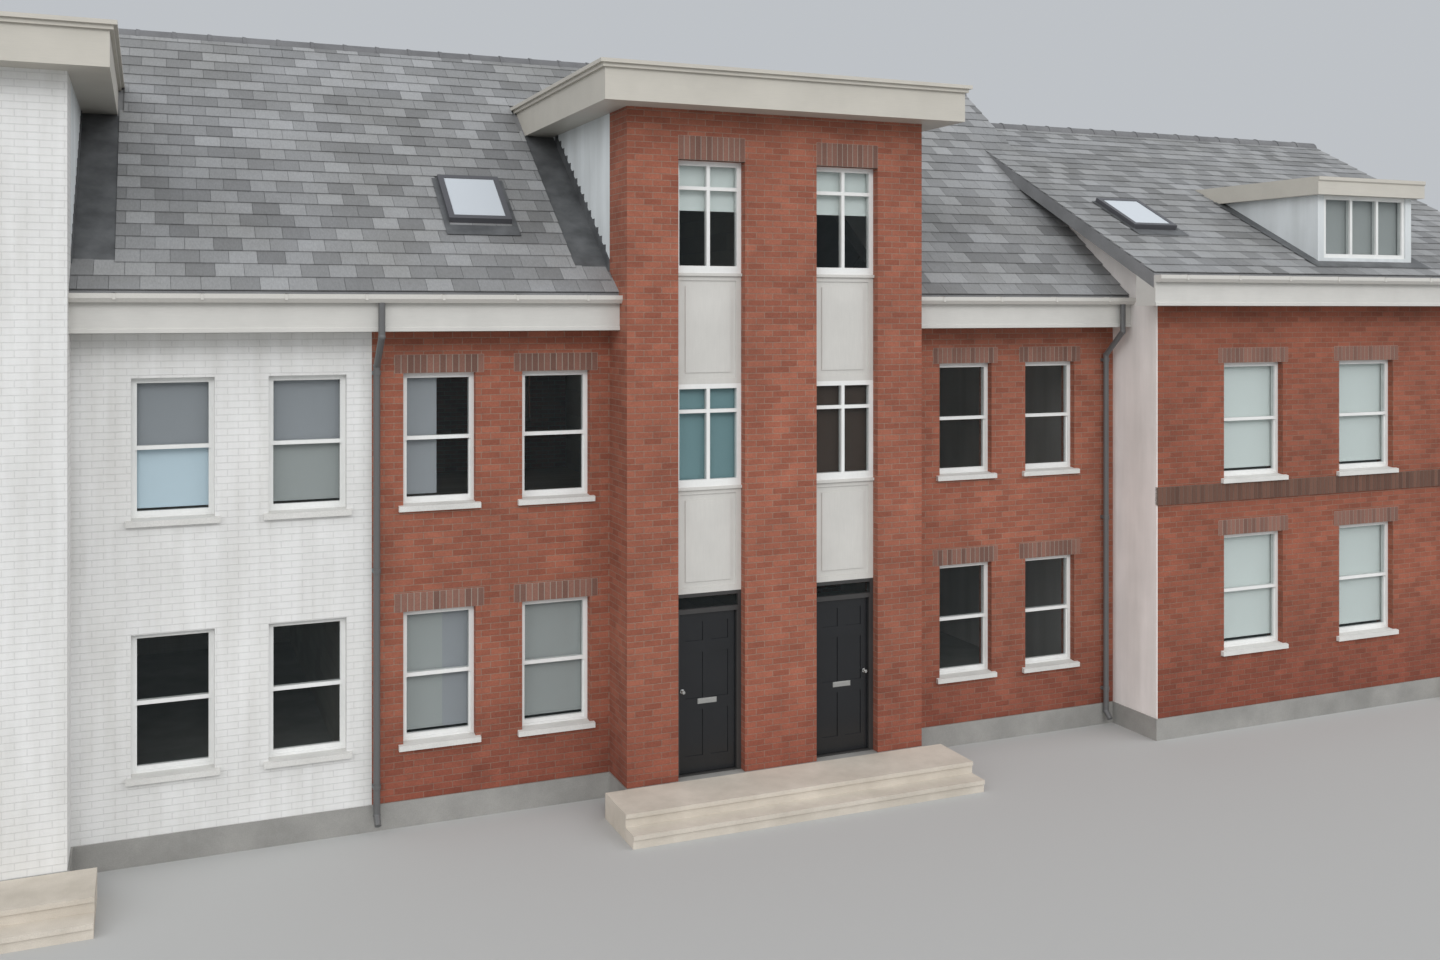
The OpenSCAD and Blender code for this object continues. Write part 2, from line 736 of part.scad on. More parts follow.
// Downpipe from a gutter, with a swan neck, wall clips and a shoe
module downpipe(xc, wall_y, y_eaves, z_eaves) {
    soffit_z = z_eaves - fascia_h;
    wall_side = wall_y - plinth_out - pipe_r - 15;
    outlet_y = y_eaves - board_t - 56;
    top = [xc, outlet_y, z_eaves - gutter_drop - gutter_h];
    knee = [xc, outlet_y, soffit_z - 60];
    elbow = [xc, wall_side, soffit_z - 400];
    foot = [xc, wall_side, 200];
    shoe = [xc, wall_side - 90, 110];
    pipe(knee, top);
    pipe(elbow, knee);
    pipe(foot, elbow);
    pipe(shoe, foot);
    for (joint = [knee, elbow, foot]) translate(joint) sphere(r = pipe_r + 5, $fn = pipe_fn);
    for (z = [soffit_z - 500, (soffit_z + 200) / 2, 500]) {
        translate([xc, wall_side, z]) cylinder(r = pipe_r + 8, h = 50, $fn = pipe_fn);
        box(xc - 45, xc + 45, wall_side + pipe_r - 12, wall_y, z + 5, z + 45);
    }
}

pipe_inset = 90;
module downpipes() {
    color("ivory") {
        downpipe(pipe_inset, 0, main_eaves_y, eaves_z);
        downpipe(brick_x + pipe_inset / 2, 0, main_eaves_y, eaves_z);
        downpipe(end_x - 2 * pipe_inset, 0, main_eaves_y, eaves_z);
        downpipe(row_w - 4 * pipe_inset, end_y, end_eaves_y, end_eaves_z);
        to_rear() {
            downpipe(pipe_inset, 0, main_eaves_y, eaves_z);
            downpipe(brick_x, 0, main_eaves_y, eaves_z);
            downpipe(end_x - 2 * pipe_inset, 0, main_eaves_y, eaves_z);
            downpipe(row_w - 2 * pipe_inset, 0, main_eaves_y, end_eaves_z);
        }
    }
}

// Lead gutter on the slates beside a cheek, turned up against it
module flashing() {
    lead_t = 12;
    upstand = 150;
    z1 = tower_top_z - 2 * lead_t;
    y1 = main_reach(z1);
    along_x(-lead_w, 0, [[0, main_top(0) + seat], [y1, z1 + seat], [y1, z1 + lead_t], [0, main_top(0) + lead_t]]);
    along_x(-lead_t, 0, [[0, main_top(0) + seat], [main_reach(tower_top_z - upstand), tower_top_z - upstand + seat],
        [main_reach(tower_top_z - upstand), tower_top_z], [0, main_top(0) + upstand]]);
}

module tower_flashings() {
    color("dimgray") for (x = towers) {
        translate([x, 0, 0]) flashing();
        translate([x + tower_w, 0, 0]) mirror([1, 0, 0]) flashing();
    }
}

// Sash window frame: a box frame, an upper sash and a lower sash set back behind it
module sash_frame(xc, y0, z0, w, h) {
    mid_z = z0 + h / 2;
    pane_w = w - 2 * frame_w;
    difference() {
        box(xc - w / 2, xc + w / 2, y0, y0 + frame_d, z0, z0 + h);
        box(xc - pane_w / 2, xc + pane_w / 2, y0 - 1, y0 + frame_d + 1, z0 + frame_w + 10, mid_z - rail_w / 2);
        box(xc - pane_w / 2, xc + pane_w / 2, y0 - 1, y0 + frame_d + 1, mid_z + rail_w / 2, z0 + h - frame_w);
        box(xc - pane_w / 2 - 20, xc + pane_w / 2 + 20, y0 - 1, y0 + sash_step, z0 + 25, mid_z - rail_w / 2 - 6);
    }
}

// Two panes of a sash window
module sash_glass(xc, y0, z0, w, h) {
    mid_z = z0 + h / 2;
    pane_w = w - 2 * frame_w;
    y_low = y0 + frame_d - 24;
    y_high = y0 + sash_step + 6;
    box(xc - pane_w / 2, xc + pane_w / 2, y_low, y_low + glass_t, z0 + frame_w + 10, mid_z - rail_w / 2);
    box(xc - pane_w / 2, xc + pane_w / 2, y_high, y_high + glass_t, mid_z + rail_w / 2, z0 + h - frame_w);
}

// Every wing window as [centre, sill height], and every end house window
wing_windows = [for (wing = concat(white_wings, brick_wings), xc = wing_window_xs(wing), z = wing_sills) [xc, z]];
end_windows = concat([for (bay = end_bays) [end_mid_x + bay, end_first_sill_z]],
    [for (bay = [-end_window_pitch, 0]) [end_mid_x + bay, end_ground_sill_z]]);
rear_window_places = concat([for (xc = concat(rear_windows, rear_door_xs)) [xc, first_z + rear_sill_up]],
    [for (xc = rear_windows) [xc, ground_z + rear_sill_up]]);

module wing_window_frames() {
    color("white") for (p = wing_windows) sash_frame(p[0], reveal, p[1], window_w, window_h);
}

module end_window_frames() {
    color("white") for (p = end_windows) sash_frame(p[0], end_y + reveal, p[1], end_window_w, end_window_h);
}

module rear_window_frames() {
    color("white") to_rear() for (p = rear_window_places) {
        sash_frame(p[0], reveal, p[1], rear_window_w, rear_window_h);
    }
}

module window_glass() {
    color("lightsteelblue") {
        for (p = wing_windows) sash_glass(p[0], reveal, p[1], window_w, window_h);
        for (p = end_windows) sash_glass(p[0], end_y + reveal, p[1], end_window_w, end_window_h);
        to_rear() {
            for (p = rear_window_places) sash_glass(p[0], reveal, p[1], rear_window_w, rear_window_h);
            for (xc = rear_door_xs) fanlight_glass(xc, reveal, rear_door_w, end_door_h);
        }
    }
}

// Sill with a weathered top, a drip under its nose and ends that run past the opening
module sill(xc, wall_y, z0, w) {
    x0 = xc - w / 2;
    back_y = wall_y + wall_t;
    difference() {
        along_x(x0 - stool_end, x0 + w + stool_end, [[wall_y - sill_out, z0 - sill_h], [wall_y - 24, z0 - sill_h],
            [wall_y - 24, z0 - sill_h + 10], [wall_y - 10, z0 - sill_h + 10], [wall_y - 10, z0 - sill_h],
            [back_y, z0 - sill_h], [back_y, z0], [wall_y + reveal, z0], [wall_y - sill_out, z0 - 18]]);
        for (x = [x0 - stool_end - 1, x0 + w]) box(x, x + stool_end + 1, wall_y, back_y + 1, z0 - sill_h - 1, z0 + 1);
    }
}

module sills() {
    color("antiquewhite") {
        for (p = wing_windows) sill(p[0], 0, p[1], window_w);
        for (p = end_windows) sill(p[0], end_y, p[1], end_window_w);
        to_rear() for (p = rear_window_places) sill(p[0], 0, p[1], rear_window_w);
    }
}

// Casement of a tower strip with a top light
top_light_h = 330;
module strip_frame(xc, z0, h) {
    y0 = strip_y;
    light_z = z0 + h - top_light_h;
    difference() {
        box(xc - strip_w / 2, xc + strip_w / 2, y0, y0 + frame_d, z0, z0 + h);
        for (pane = strip_panes(xc, z0, h)) box(pane[0], pane[1], y0 - 1, y0 + frame_d + 1, pane[2], pane[3]);
    }
}

// Panes of a strip window as [left, right, bottom, top]: two tall lights with a top light over each
function strip_panes(xc, z0, h) = let (side = strip_w / 2 - frame_w, split = z0 + h - top_light_h)
    [for (half = [-1, 1], row = [[z0 + frame_w + 30, split - rail_w / 2], [split + rail_w / 2, z0 + h - frame_w]])
        [half < 0 ? xc - side : xc + rail_w / 2, half < 0 ? xc - rail_w / 2 : xc + side, row[0], row[1]]];

// Windows of the strips as [centre, sill height, height]
strip_windows = [for (x = towers, xs = strip_xs, row = [[mid_sill_z, mid_window_h], [top_sill_z, top_window_h]])
    [x + xs, row[0], row[1]]];

module tower_window_frames() {
    color("white") for (p = strip_windows) strip_frame(p[0], p[1], p[2]);
}

module tower_glass() {
    y0 = strip_y + frame_d / 2;
    color("lightsteelblue") {
        for (p = strip_windows, pane = strip_panes(p[0], p[1], p[2])) {
            box(pane[0], pane[1], y0, y0 + glass_t, pane[2], pane[3]);
        }
        for (x = towers, xs = strip_xs) fanlight_glass(x + xs, strip_y, strip_w, door_frame_h);
        fanlight_glass(end_mid_x + door_bay, end_y + reveal, end_door_w, end_door_h);
    }
}

// Panels of the strips as [bottom, top]
door_head_z = plinth_h + door_frame_h;
panel_rows = [[door_head_z, mid_sill_z], [mid_sill_z + mid_window_h, top_sill_z]];

// Infill panel of a strip: a framed board with a raised field and a small sill at its top
module strip_panel(xc, z0, z1) {
    edge = 70;
    field_in = 14;
    lip = 30;
    difference() {
        box(xc - strip_w / 2, xc + strip_w / 2, strip_y, tower_y + wall_t, z0, z1);
        box(xc - strip_w / 2 + edge, xc + strip_w / 2 - edge, strip_y - 1, strip_y + field_in, z0 + edge, z1 - edge - 20);
    }
    box(xc - strip_w / 2 + 2 * edge, xc + strip_w / 2 - 2 * edge, strip_y + 3, strip_y + field_in, z0 + 2 * edge,
        z1 - 2 * edge - 20);
    box(xc - strip_w / 2, xc + strip_w / 2, strip_y - lip, strip_y, z1 - 35, z1);
}

module tower_panels() {
    color("antiquewhite") for (x = towers, xs = strip_xs, row = panel_rows) strip_panel(x + xs, row[0], row[1]);
}

// Door frame with a stop, a threshold and a fanlight over the door
stop_w = 14;
frame_gap = 45;
function leaf_w(opening) = opening - 2 * frame_gap - 2 * leaf_gap;
leaf_z = plinth_h + threshold_h + leaf_gap;
transom_z = leaf_z + leaf_h + leaf_gap;
door_frame_d = 90;
module door_frame(xc, y0, w, h) {
    z1 = plinth_h + h;
    side = w / 2 - frame_gap;
    stop_y = y0 + door_frame_d - leaf_t - clear;
    difference() {
        box(xc - w / 2, xc + w / 2, y0, y0 + door_frame_d, plinth_h, z1);
        box(xc - side, xc + side, stop_y, y0 + door_frame_d + 1, plinth_h + threshold_h, transom_z);
        box(xc - side + stop_w, xc + side - stop_w, y0 - 1, stop_y + 1, plinth_h + threshold_h, transom_z - stop_w);
        box(xc - side, xc + side, y0 - 1, y0 + door_frame_d + 1, transom_z + rail_w, z1 - frame_gap);
    }
}

module fanlight_glass(xc, y0, w, h) {
    side = w / 2 - frame_gap;
    y1 = y0 + door_frame_d / 2;
    box(xc - side, xc + side, y1, y1 + glass_t, transom_z + rail_w, plinth_h + h - frame_gap);
}

module brick_door_frames() {
    color("white") {
        for (xs = strip_xs) door_frame(brick_tower_x + xs, strip_y, strip_w, door_frame_h);
        frame_hinges(left_door_x, strip_y, strip_leaf_w, 1);
        frame_hinges(right_door_x, strip_y, strip_leaf_w, -1);
    }
}

module fixed_door_frames() {
    color("white") {
        for (xs = strip_xs) door_frame(white_tower_x + xs, strip_y, strip_w, door_frame_h);
        door_frame(end_mid_x + door_bay, end_y + reveal, end_door_w, end_door_h);
        to_rear() for (xc = rear_door_xs) door_frame(xc, reveal, rear_door_w, end_door_h);
    }
}

// Six-panel door leaf, panels sunk on both faces
module leaf(xc, y0, w) {
    stile = 105;
    sunk = 11;
    column_w = (w - 3 * stile) / 2;
    rows = [[200, 560], [900, 560], [1600, 230]];
    y_leaf = y0 + door_frame_d - leaf_t;
    difference() {
        box(xc - w / 2, xc + w / 2, y_leaf, y_leaf + leaf_t, leaf_z, leaf_z + leaf_h);
        for (column = [0, 1], row = rows, face = [y_leaf - 1, y_leaf + leaf_t - sunk]) {
            x0 = xc - w / 2 + stile + column * (column_w + stile);
            box(x0, x0 + column_w, face, face + sunk + 1, leaf_z + row[0], leaf_z + row[0] + row[1]);
        }
    }
}

// Hinges of a leaf, side is 1 where it hangs on its right and -1 on its left
hinge_zs = [leaf_z + 180, leaf_z + leaf_h / 2, leaf_z + leaf_h - 280];
hinge_out = knuckle_r + clear;
hinge_h = 100;
hinge_play = 0.3;
knuckle_h = hinge_h / 3;
hinge_plate_w = 32;
hinge_plate_t = 7;

// One knuckle with its plate, which runs towards the leaf where toward is -1 and towards the frame where it is 1
module knuckle(xc, y_in, w, side, toward, z, h) {
    axis_x = xc + side * (w / 2 + leaf_gap / 2);
    near_x = axis_x + side * toward * leaf_gap / 2;
    far_x = near_x + side * toward * hinge_plate_w;
    translate([axis_x, y_in + hinge_out, z]) cylinder(r = knuckle_r, h = h, $fn = 32);
    box(min(near_x, far_x), max(near_x, far_x), y_in, y_in + hinge_plate_t, z, z + h);
}

module leaf_hinges(xc, y0, w, side) {
    for (z = hinge_zs, up = [0, 2]) knuckle(xc, y0 + door_frame_d, w, side, -1, z + up * knuckle_h, knuckle_h);
}

module frame_hinges(xc, y0, w, side) {
    for (z = hinge_zs) {
        knuckle(xc, y0 + door_frame_d, w, side, 1, z + knuckle_h + hinge_play, knuckle_h - 2 * hinge_play);
    }
}

// Knob on a rose, letter plate and knocker on the street face, and a knob inside, away from the hinges
module furniture(xc, y0, w, side) {
    y_leaf = y0 + door_frame_d - leaf_t;
    knob_x = xc - side * (w / 2 - 60);
    knob_z = leaf_z + letter_z;
    for (out = [-1, 1]) {
        face = out < 0 ? y_leaf : y_leaf + leaf_t;
        translate([knob_x, face, knob_z]) rotate([-90 * out, 0, 0]) rotate_extrude($fn = 48) {
            polygon([[0, 0], [27, 0], [27, 6], [11, 10], [11, 30], [24, 38], [26, 48], [20, 58], [0, 60]]);
        }
    }
    box(xc - 125, xc + 125, y_leaf - 8, y_leaf, knob_z - 170, knob_z - 105);
    box(xc - 115, xc + 115, y_leaf - 12, y_leaf - 8, knob_z - 162, knob_z - 113);
    leaf_hinges(xc, y0, w, side);
}

left_door_x = brick_tower_x + strip_xs[0];
right_door_x = brick_tower_x + strip_xs[1];
strip_leaf_w = leaf_w(strip_w);

module left_door() {
    color("black") leaf(left_door_x, strip_y, strip_leaf_w);
}

module right_door() {
    color("black") leaf(right_door_x, strip_y, strip_leaf_w);
}

module left_door_furniture() {
    color("silver") furniture(left_door_x, strip_y, strip_leaf_w, 1);
}

module right_door_furniture() {
    color("silver") furniture(right_door_x, strip_y, strip_leaf_w, -1);
}

module fixed_doors() {
    color("black") {
        for (xs = strip_xs) leaf(white_tower_x + xs, strip_y - clear, strip_leaf_w);
        leaf(end_mid_x + door_bay, end_y + reveal - clear, leaf_w(end_door_w));
        to_rear() for (xc = rear_door_xs) leaf(xc, reveal - clear, leaf_w(rear_door_w));
    }
}

// Rooflight on a slope, drawn flat and turned up the slope
kerb_h = 90;
kerb_w = 70;
module on_slope(xc, yc, top_z, angle) {
    translate([xc, yc, top_z]) rotate([angle, 0, 0]) children();
}

module rooflight_ring() {
    difference() {
        translate([-rooflight_w / 2, -rooflight_l / 2, seat]) cube([rooflight_w, rooflight_l, kerb_h]);
        translate([-rooflight_w / 2 + kerb_w, -rooflight_l / 2 + kerb_w, -1]) {
            cube([rooflight_w - 2 * kerb_w, rooflight_l - 2 * kerb_w, kerb_h + 2]);
        }
    }
}

module rooflight_hole() {
    translate([-rooflight_w / 2 + kerb_w, -rooflight_l / 2 + kerb_w, -2 * roof_t]) {
        cube([rooflight_w - 2 * kerb_w, rooflight_l - 2 * kerb_w, 3 * roof_t]);
    }
}

module rooflight_pane() {
    translate([-rooflight_w / 2 + kerb_w, -rooflight_l / 2 + kerb_w, kerb_h - 2 * glass_t]) {
        cube([rooflight_w - 2 * kerb_w, rooflight_l - 2 * kerb_w, glass_t]);
    }
}

brick_rooflight_x = (brick_x + brick_tower_x) / 2;
brick_rooflight_y = 1150;
end_rooflight_x = end_x + party_t + 520;
end_rooflight_y = 450;

module rooflight_frames() {
    color("dimgray") {
        on_slope(brick_rooflight_x, brick_rooflight_y, main_top(brick_rooflight_y), main_angle) rooflight_ring();
        on_slope(end_rooflight_x, end_rooflight_y, end_top(end_rooflight_y), end_angle) rooflight_ring();
    }
}

module rooflight_glass() {
    color("lightsteelblue") {
        on_slope(brick_rooflight_x, brick_rooflight_y, main_top(brick_rooflight_y), main_angle) rooflight_pane();
        on_slope(end_rooflight_x, end_rooflight_y, end_top(end_rooflight_y), end_angle) rooflight_pane();
    }
}

// Dormer in the middle of the end house roof
dormer_y = end_y + 20;
dormer_wall_t = 120;
dormer_roof_t = 260;
dormer_out = 130;
dormer_base_z = end_top(dormer_y) + 80;
dormer_wall_z = dormer_base_z + dormer_window_h;
dormer_top_z = dormer_wall_z + dormer_roof_t;
function end_reach(z) = end_ridge_y - (end_ridge_z - z) / end_fall;

module dormer_cheek(x0) {
    along_x(x0, x0 + dormer_wall_t, [[dormer_y, end_top(dormer_y) + seat],
        [end_reach(dormer_wall_z) - seat, dormer_wall_z],
        [dormer_y, dormer_wall_z]]);
}

module dormer_walls() {
    x0 = end_mid_x - dormer_w / 2;
    x1 = end_mid_x + dormer_w / 2;
    back_y = dormer_y + dormer_wall_t;
    color("gainsboro") {
        dormer_cheek(x0);
        dormer_cheek(x1 - dormer_wall_t);
        along_x(x0, x1, [[dormer_y, end_top(dormer_y) + seat], [back_y, end_top(back_y) + seat], [back_y, dormer_base_z],
            [dormer_y, dormer_base_z]]);
    }
}

// Dormer window as three lights
dormer_side = dormer_w / 2 - dormer_wall_t;
function dormer_panes() = let (light_w = (2 * dormer_side - 2 * frame_w - 2 * rail_w) / 3)
    [for (i = [0:2]) let (x0 = end_mid_x - dormer_side + frame_w + i * (light_w + rail_w)) [x0, x0 + light_w]];

module dormer_window_frame() {
    color("white") difference() {
        box(end_mid_x - dormer_side, end_mid_x + dormer_side, dormer_y + 20, dormer_y + 20 + frame_d,
            dormer_base_z + seat, dormer_wall_z - seat);
        for (pane = dormer_panes()) {
            box(pane[0], pane[1], dormer_y, dormer_y + 2 * frame_d, dormer_base_z + frame_w, dormer_wall_z - frame_w);
        }
    }
}

module dormer_glass() {
    y0 = dormer_y + 50;
    color("lightsteelblue") for (pane = dormer_panes()) {
        box(pane[0], pane[1], y0, y0 + glass_t, dormer_base_z + frame_w, dormer_wall_z - frame_w);
    }
}

module dormer_roof() {
    x0 = end_mid_x - dormer_w / 2 - dormer_out;
    x1 = end_mid_x + dormer_w / 2 + dormer_out;
    y0 = dormer_y - dormer_out;
    color("antiquewhite") along_x(x0, x1, [[y0, dormer_wall_z], [end_reach(dormer_wall_z) - seat, dormer_wall_z],
        [end_reach(dormer_top_z) - seat, dormer_top_z], [y0 - 20, dormer_top_z], [y0 - 20, dormer_top_z - 50],
        [y0, dormer_top_z - 70]]);
}

// The named node, or every node, moved to the row's frame
translate(shift) {
    row_plinth();
    tower_bases();
    end_plinth();
    ground_floors();
    first_floors();
    second_floors();
    landings();
    white_front_walls();
    brick_front_walls();
    end_front_wall();
    white_tower_front();
    brick_tower_piers();
    brick_tower_head();
    tower_cheeks();
    white_rear_wall();
    brick_rear_wall();
    end_rear_wall();
    left_end_wall();
    inner_party_walls();
    end_left_wall();
    right_end_wall();
    main_gable();
    string_course();
    main_roof_front();
    main_roof_rear();
    end_roof_front();
    end_roof_rear();
    ridge_tiles();
    tower_roof_decks();
    tower_fascias();
    front_fascias();
    rear_fascias();
    gutters();
    downpipes();
    tower_flashings();
    wing_window_frames();
    end_window_frames();
    tower_window_frames();
    rear_window_frames();
    window_glass();
    tower_glass();
    sills();
    tower_panels();
    brick_door_frames();
    fixed_door_frames();
    left_door();
    right_door();
    left_door_furniture();
    right_door_furniture();
    fixed_doors();
    rooflight_frames();
    rooflight_glass();
    dormer_walls();
    dormer_window_frame();
    dormer_glass();
    dormer_roof();
}
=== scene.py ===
import math
import random

import bmesh
import bpy
from mathutils import Matrix, Vector


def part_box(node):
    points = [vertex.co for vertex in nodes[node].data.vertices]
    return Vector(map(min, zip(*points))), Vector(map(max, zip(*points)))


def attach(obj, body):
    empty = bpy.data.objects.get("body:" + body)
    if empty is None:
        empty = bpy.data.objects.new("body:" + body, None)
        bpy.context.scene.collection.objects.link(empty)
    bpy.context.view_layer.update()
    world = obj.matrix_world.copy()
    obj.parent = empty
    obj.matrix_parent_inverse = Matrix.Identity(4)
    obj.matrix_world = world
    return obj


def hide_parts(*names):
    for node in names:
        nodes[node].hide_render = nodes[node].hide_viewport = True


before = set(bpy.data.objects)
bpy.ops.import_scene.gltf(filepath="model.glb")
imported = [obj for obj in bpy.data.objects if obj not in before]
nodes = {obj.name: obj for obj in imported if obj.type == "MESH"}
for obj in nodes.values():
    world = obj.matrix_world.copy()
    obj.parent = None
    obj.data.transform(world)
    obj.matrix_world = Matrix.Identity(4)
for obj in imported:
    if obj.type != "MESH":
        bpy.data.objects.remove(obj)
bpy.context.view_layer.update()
print("frame loaded:", len(nodes), "nodes")


# Places the pieces are built from, read from the frame in metres
def edges(name):
    low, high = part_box(name)
    return Vector(low), Vector(high)


pierLow = edges("brick_tower_piers")[0]
mainRoofLow, mainRoofHigh = edges("main_roof_front")
mainRearLow, mainRearHigh = edges("main_roof_rear")
endRoofLow, endRoofHigh = edges("end_roof_front")
endRearLow, endRearHigh = edges("end_roof_rear")
endWallLow = edges("end_left_wall")[0]
endFrontLow = edges("end_front_wall")[0]
brickWallLow = edges("brick_front_walls")[0]
whiteWallLow, whiteWallHigh = edges("white_front_walls")
wingFaceY = whiteWallLow.y
rearFaceY = edges("brick_rear_wall")[1].y


# Camera at the photograph's place: its distance and turn come from the row's vanishing lines
camera = {
    "leftOfTower": 5.19,      # how far left of the brick tower's left edge it stands
    "beforeWings": 15.72,     # how far in front of the wing walls
    "height": 5.95,           # above the street
    "turn": 22.95,            # degrees to the right of straight on
    "lens": 33.7,             # millimetres
    "sensorWidth": 36,        # millimetres
    "shiftY": -0.118,         # the frame is lowered by this share of the sensor's width
    "nearest": 0.1,
    "farthest": 500,
}


def placeCamera():
    data = bpy.data.cameras.new("streetCamera")
    data.lens = camera["lens"]
    data.sensor_width = camera["sensorWidth"]
    data.shift_y = camera["shiftY"]
    data.clip_start = camera["nearest"]
    data.clip_end = camera["farthest"]
    eye = bpy.data.objects.new("streetCamera", data)
    eye.location = (pierLow.x - camera["leftOfTower"], wingFaceY - camera["beforeWings"], camera["height"])
    level = math.radians(90)
    eye.rotation_euler = (level, 0, -math.radians(camera["turn"]))
    bpy.context.scene.collection.objects.link(eye)
    bpy.context.scene.camera = eye


placeCamera()


# Studio: pale floor, pale sky, a wide soft sun from the street and two wider fills, tilts in degrees
studio = {
    "floor": (0.46, 0.46, 0.45),
    "floorSize": 400,
    "floorRoughness": 0.85,
    "sky": (0.86, 0.9, 0.95),
    "skyStrength": 0.6,
    "sunStrength": 0.75,
    "sunAngle": 24,
    "sunTilt": (60, 0, -8),
    "rightFillStrength": 0.95,
    "rightFillAngle": 60,
    "rightFillTilt": (55, 0, 50),
    "leftFillStrength": 1.1,
    "leftFillAngle": 60,
    "leftFillTilt": (60, 0, -60),
}


def buildStudio():
    bm = bmesh.new()
    bmesh.ops.create_grid(bm, x_segments=1, y_segments=1, size=studio["floorSize"])
    mesh = bpy.data.meshes.new("floor")
    bm.to_mesh(mesh)
    bm.free()
    floor = bpy.data.objects.new("floor", mesh)
    bpy.context.scene.collection.objects.link(floor)
    mat = bpy.data.materials.new("studioFloor")
    mat.use_nodes = True
    shader = mat.node_tree.nodes["Principled BSDF"]
    shader.inputs["Base Color"].default_value = (*studio["floor"], 1)
    shader.inputs["Roughness"].default_value = studio["floorRoughness"]
    mesh.materials.append(mat)
    world = bpy.data.worlds.new("studioSky")
    bpy.context.scene.world = world
    world.use_nodes = True
    background = world.node_tree.nodes["Background"]
    background.inputs["Color"].default_value = (*studio["sky"], 1)
    background.inputs["Strength"].default_value = studio["skyStrength"]
    for name in ("sun", "rightFill", "leftFill"):
        data = bpy.data.lights.new(name, "SUN")
        data.energy = studio[name + "Strength"]
        data.angle = math.radians(studio[name + "Angle"])
        lamp = bpy.data.objects.new(name, data)
        lamp.rotation_euler = tuple(math.radians(angle) for angle in studio[name + "Tilt"])
        bpy.context.scene.collection.objects.link(lamp)
    bpy.context.scene.view_settings.view_transform = "Standard"


buildStudio()
print("studio ready")


# Node helper: makes a shader node, sets its settings, then fills or links its inputs
def add(tree, kind, inputs=None, **settings):
    made = tree.nodes.new("ShaderNode" + kind)
    for key, value in settings.items():
        setattr(made, key, value)
    for key, value in (inputs or {}).items():
        if isinstance(value, bpy.types.NodeSocket):
            tree.links.new(value, made.inputs[key])
        else:
            made.inputs[key].default_value = value
    return made


def startMaterial(name, roughness, metallic=0.0):
    mat = bpy.data.materials.new(name)
    mat.use_nodes = True
    shader = mat.node_tree.nodes["Principled BSDF"]
    shader.inputs["Roughness"].default_value = roughness
    shader.inputs["Metallic"].default_value = metallic
    return mat, mat.node_tree, shader


def place(tree):
    return add(tree, "TexCoord").outputs["Object"]


# The same place, stretched by one factor an axis
def stretched(tree, scale):
    return add(tree, "Mapping", {"Vector": place(tree), "Scale": scale}).outputs[0]


# A face counts as turned to an axis when its normal has more than this share along it
turnedShare = 0.6


# Distance along a wall and height up it, whichever way the wall faces
def wallPlace(tree):
    xyz = add(tree, "SeparateXYZ", {0: place(tree)})
    normal = add(tree, "NewGeometry").outputs["True Normal"]
    facing = add(tree, "VectorMath", {0: normal}, operation="ABSOLUTE")
    turned = add(tree, "SeparateXYZ", {0: facing.outputs[0]})
    sideways = add(tree, "Math", {0: turned.outputs["X"], 1: turnedShare}, operation="GREATER_THAN")
    lying = add(tree, "Math", {0: turned.outputs["Z"], 1: turnedShare}, operation="GREATER_THAN")
    along = add(tree, "Mix", {0: sideways.outputs[0], 2: xyz.outputs["X"], 3: xyz.outputs["Y"]})
    up = add(tree, "Mix", {0: lying.outputs[0], 2: xyz.outputs["Z"], 3: xyz.outputs["Y"]})
    return add(tree, "CombineXYZ", {0: along.outputs[0], 1: up.outputs[0]}).outputs[0]


def noise(tree, where, scale, detail=4.0, roughness=0.55):
    made = add(tree, "TexNoise", {"Vector": where, "Scale": scale, "Detail": detail, "Roughness": roughness})
    return made.outputs["Fac"]


def ramp(tree, factor, *stops):
    made = add(tree, "ValToRGB", {0: factor})
    line = made.color_ramp
    while len(line.elements) < len(stops):
        line.elements.new(0.5)
    for element, (at, colour) in zip(line.elements, stops):
        element.position = at
        element.color = (*colour, 1)
    return made.outputs["Color"]


def blend(tree, factor, a, b, mode="MIX"):
    made = add(tree, "Mix", {0: factor}, data_type="RGBA", blend_type=mode)
    for socket, value in ((made.inputs[6], a), (made.inputs[7], b)):
        if isinstance(value, bpy.types.NodeSocket):
            tree.links.new(value, socket)
        else:
            socket.default_value = (*value, 1)
    return made.outputs[2]


def grey(value):
    return (value, value, value)


# A colour multiplied by a ramp of tints along a factor
def tinted(tree, colour, factor, *stops):
    return blend(tree, 1.0, colour, ramp(tree, factor, *stops), "MULTIPLY")


def relief(tree, shader, height, depth, strength):
    bump = add(tree, "Bump", {"Height": height, "Distance": depth, "Strength": strength})
    tree.links.new(bump.outputs[0], shader.inputs["Normal"])


# Relief of a wall: its grain, with the joints sunk below the bricks
def wallRelief(tree, shader, grain, joint, depth, strength):
    sunk = add(tree, "Math", {0: grain, 1: joint}, operation="SUBTRACT")
    relief(tree, shader, sunk.outputs[0], depth, strength)


# A tint that darkens and reddens brick towards the ground: full at "from", gone at "to", in metres
footTint = {"from": 0.2, "to": 1.7, "tint": (0.74, 0.62, 0.61)}


def darkerFoot(tree):
    height = add(tree, "SeparateXYZ", {0: place(tree)}).outputs["Z"]
    clearOfFoot = add(tree, "MapRange", {"Value": height, "From Min": footTint["from"], "From Max": footTint["to"]})
    return ramp(tree, clearOfFoot.outputs[0], (0.0, footTint["tint"]), (1.0, grey(1.0)))


# Mortar courses: outputs brick colour, and 0 on bricks rising to 1 in the joints
course = {"length": 0.225, "height": 0.075, "joint": 0.005, "soften": 0.25}


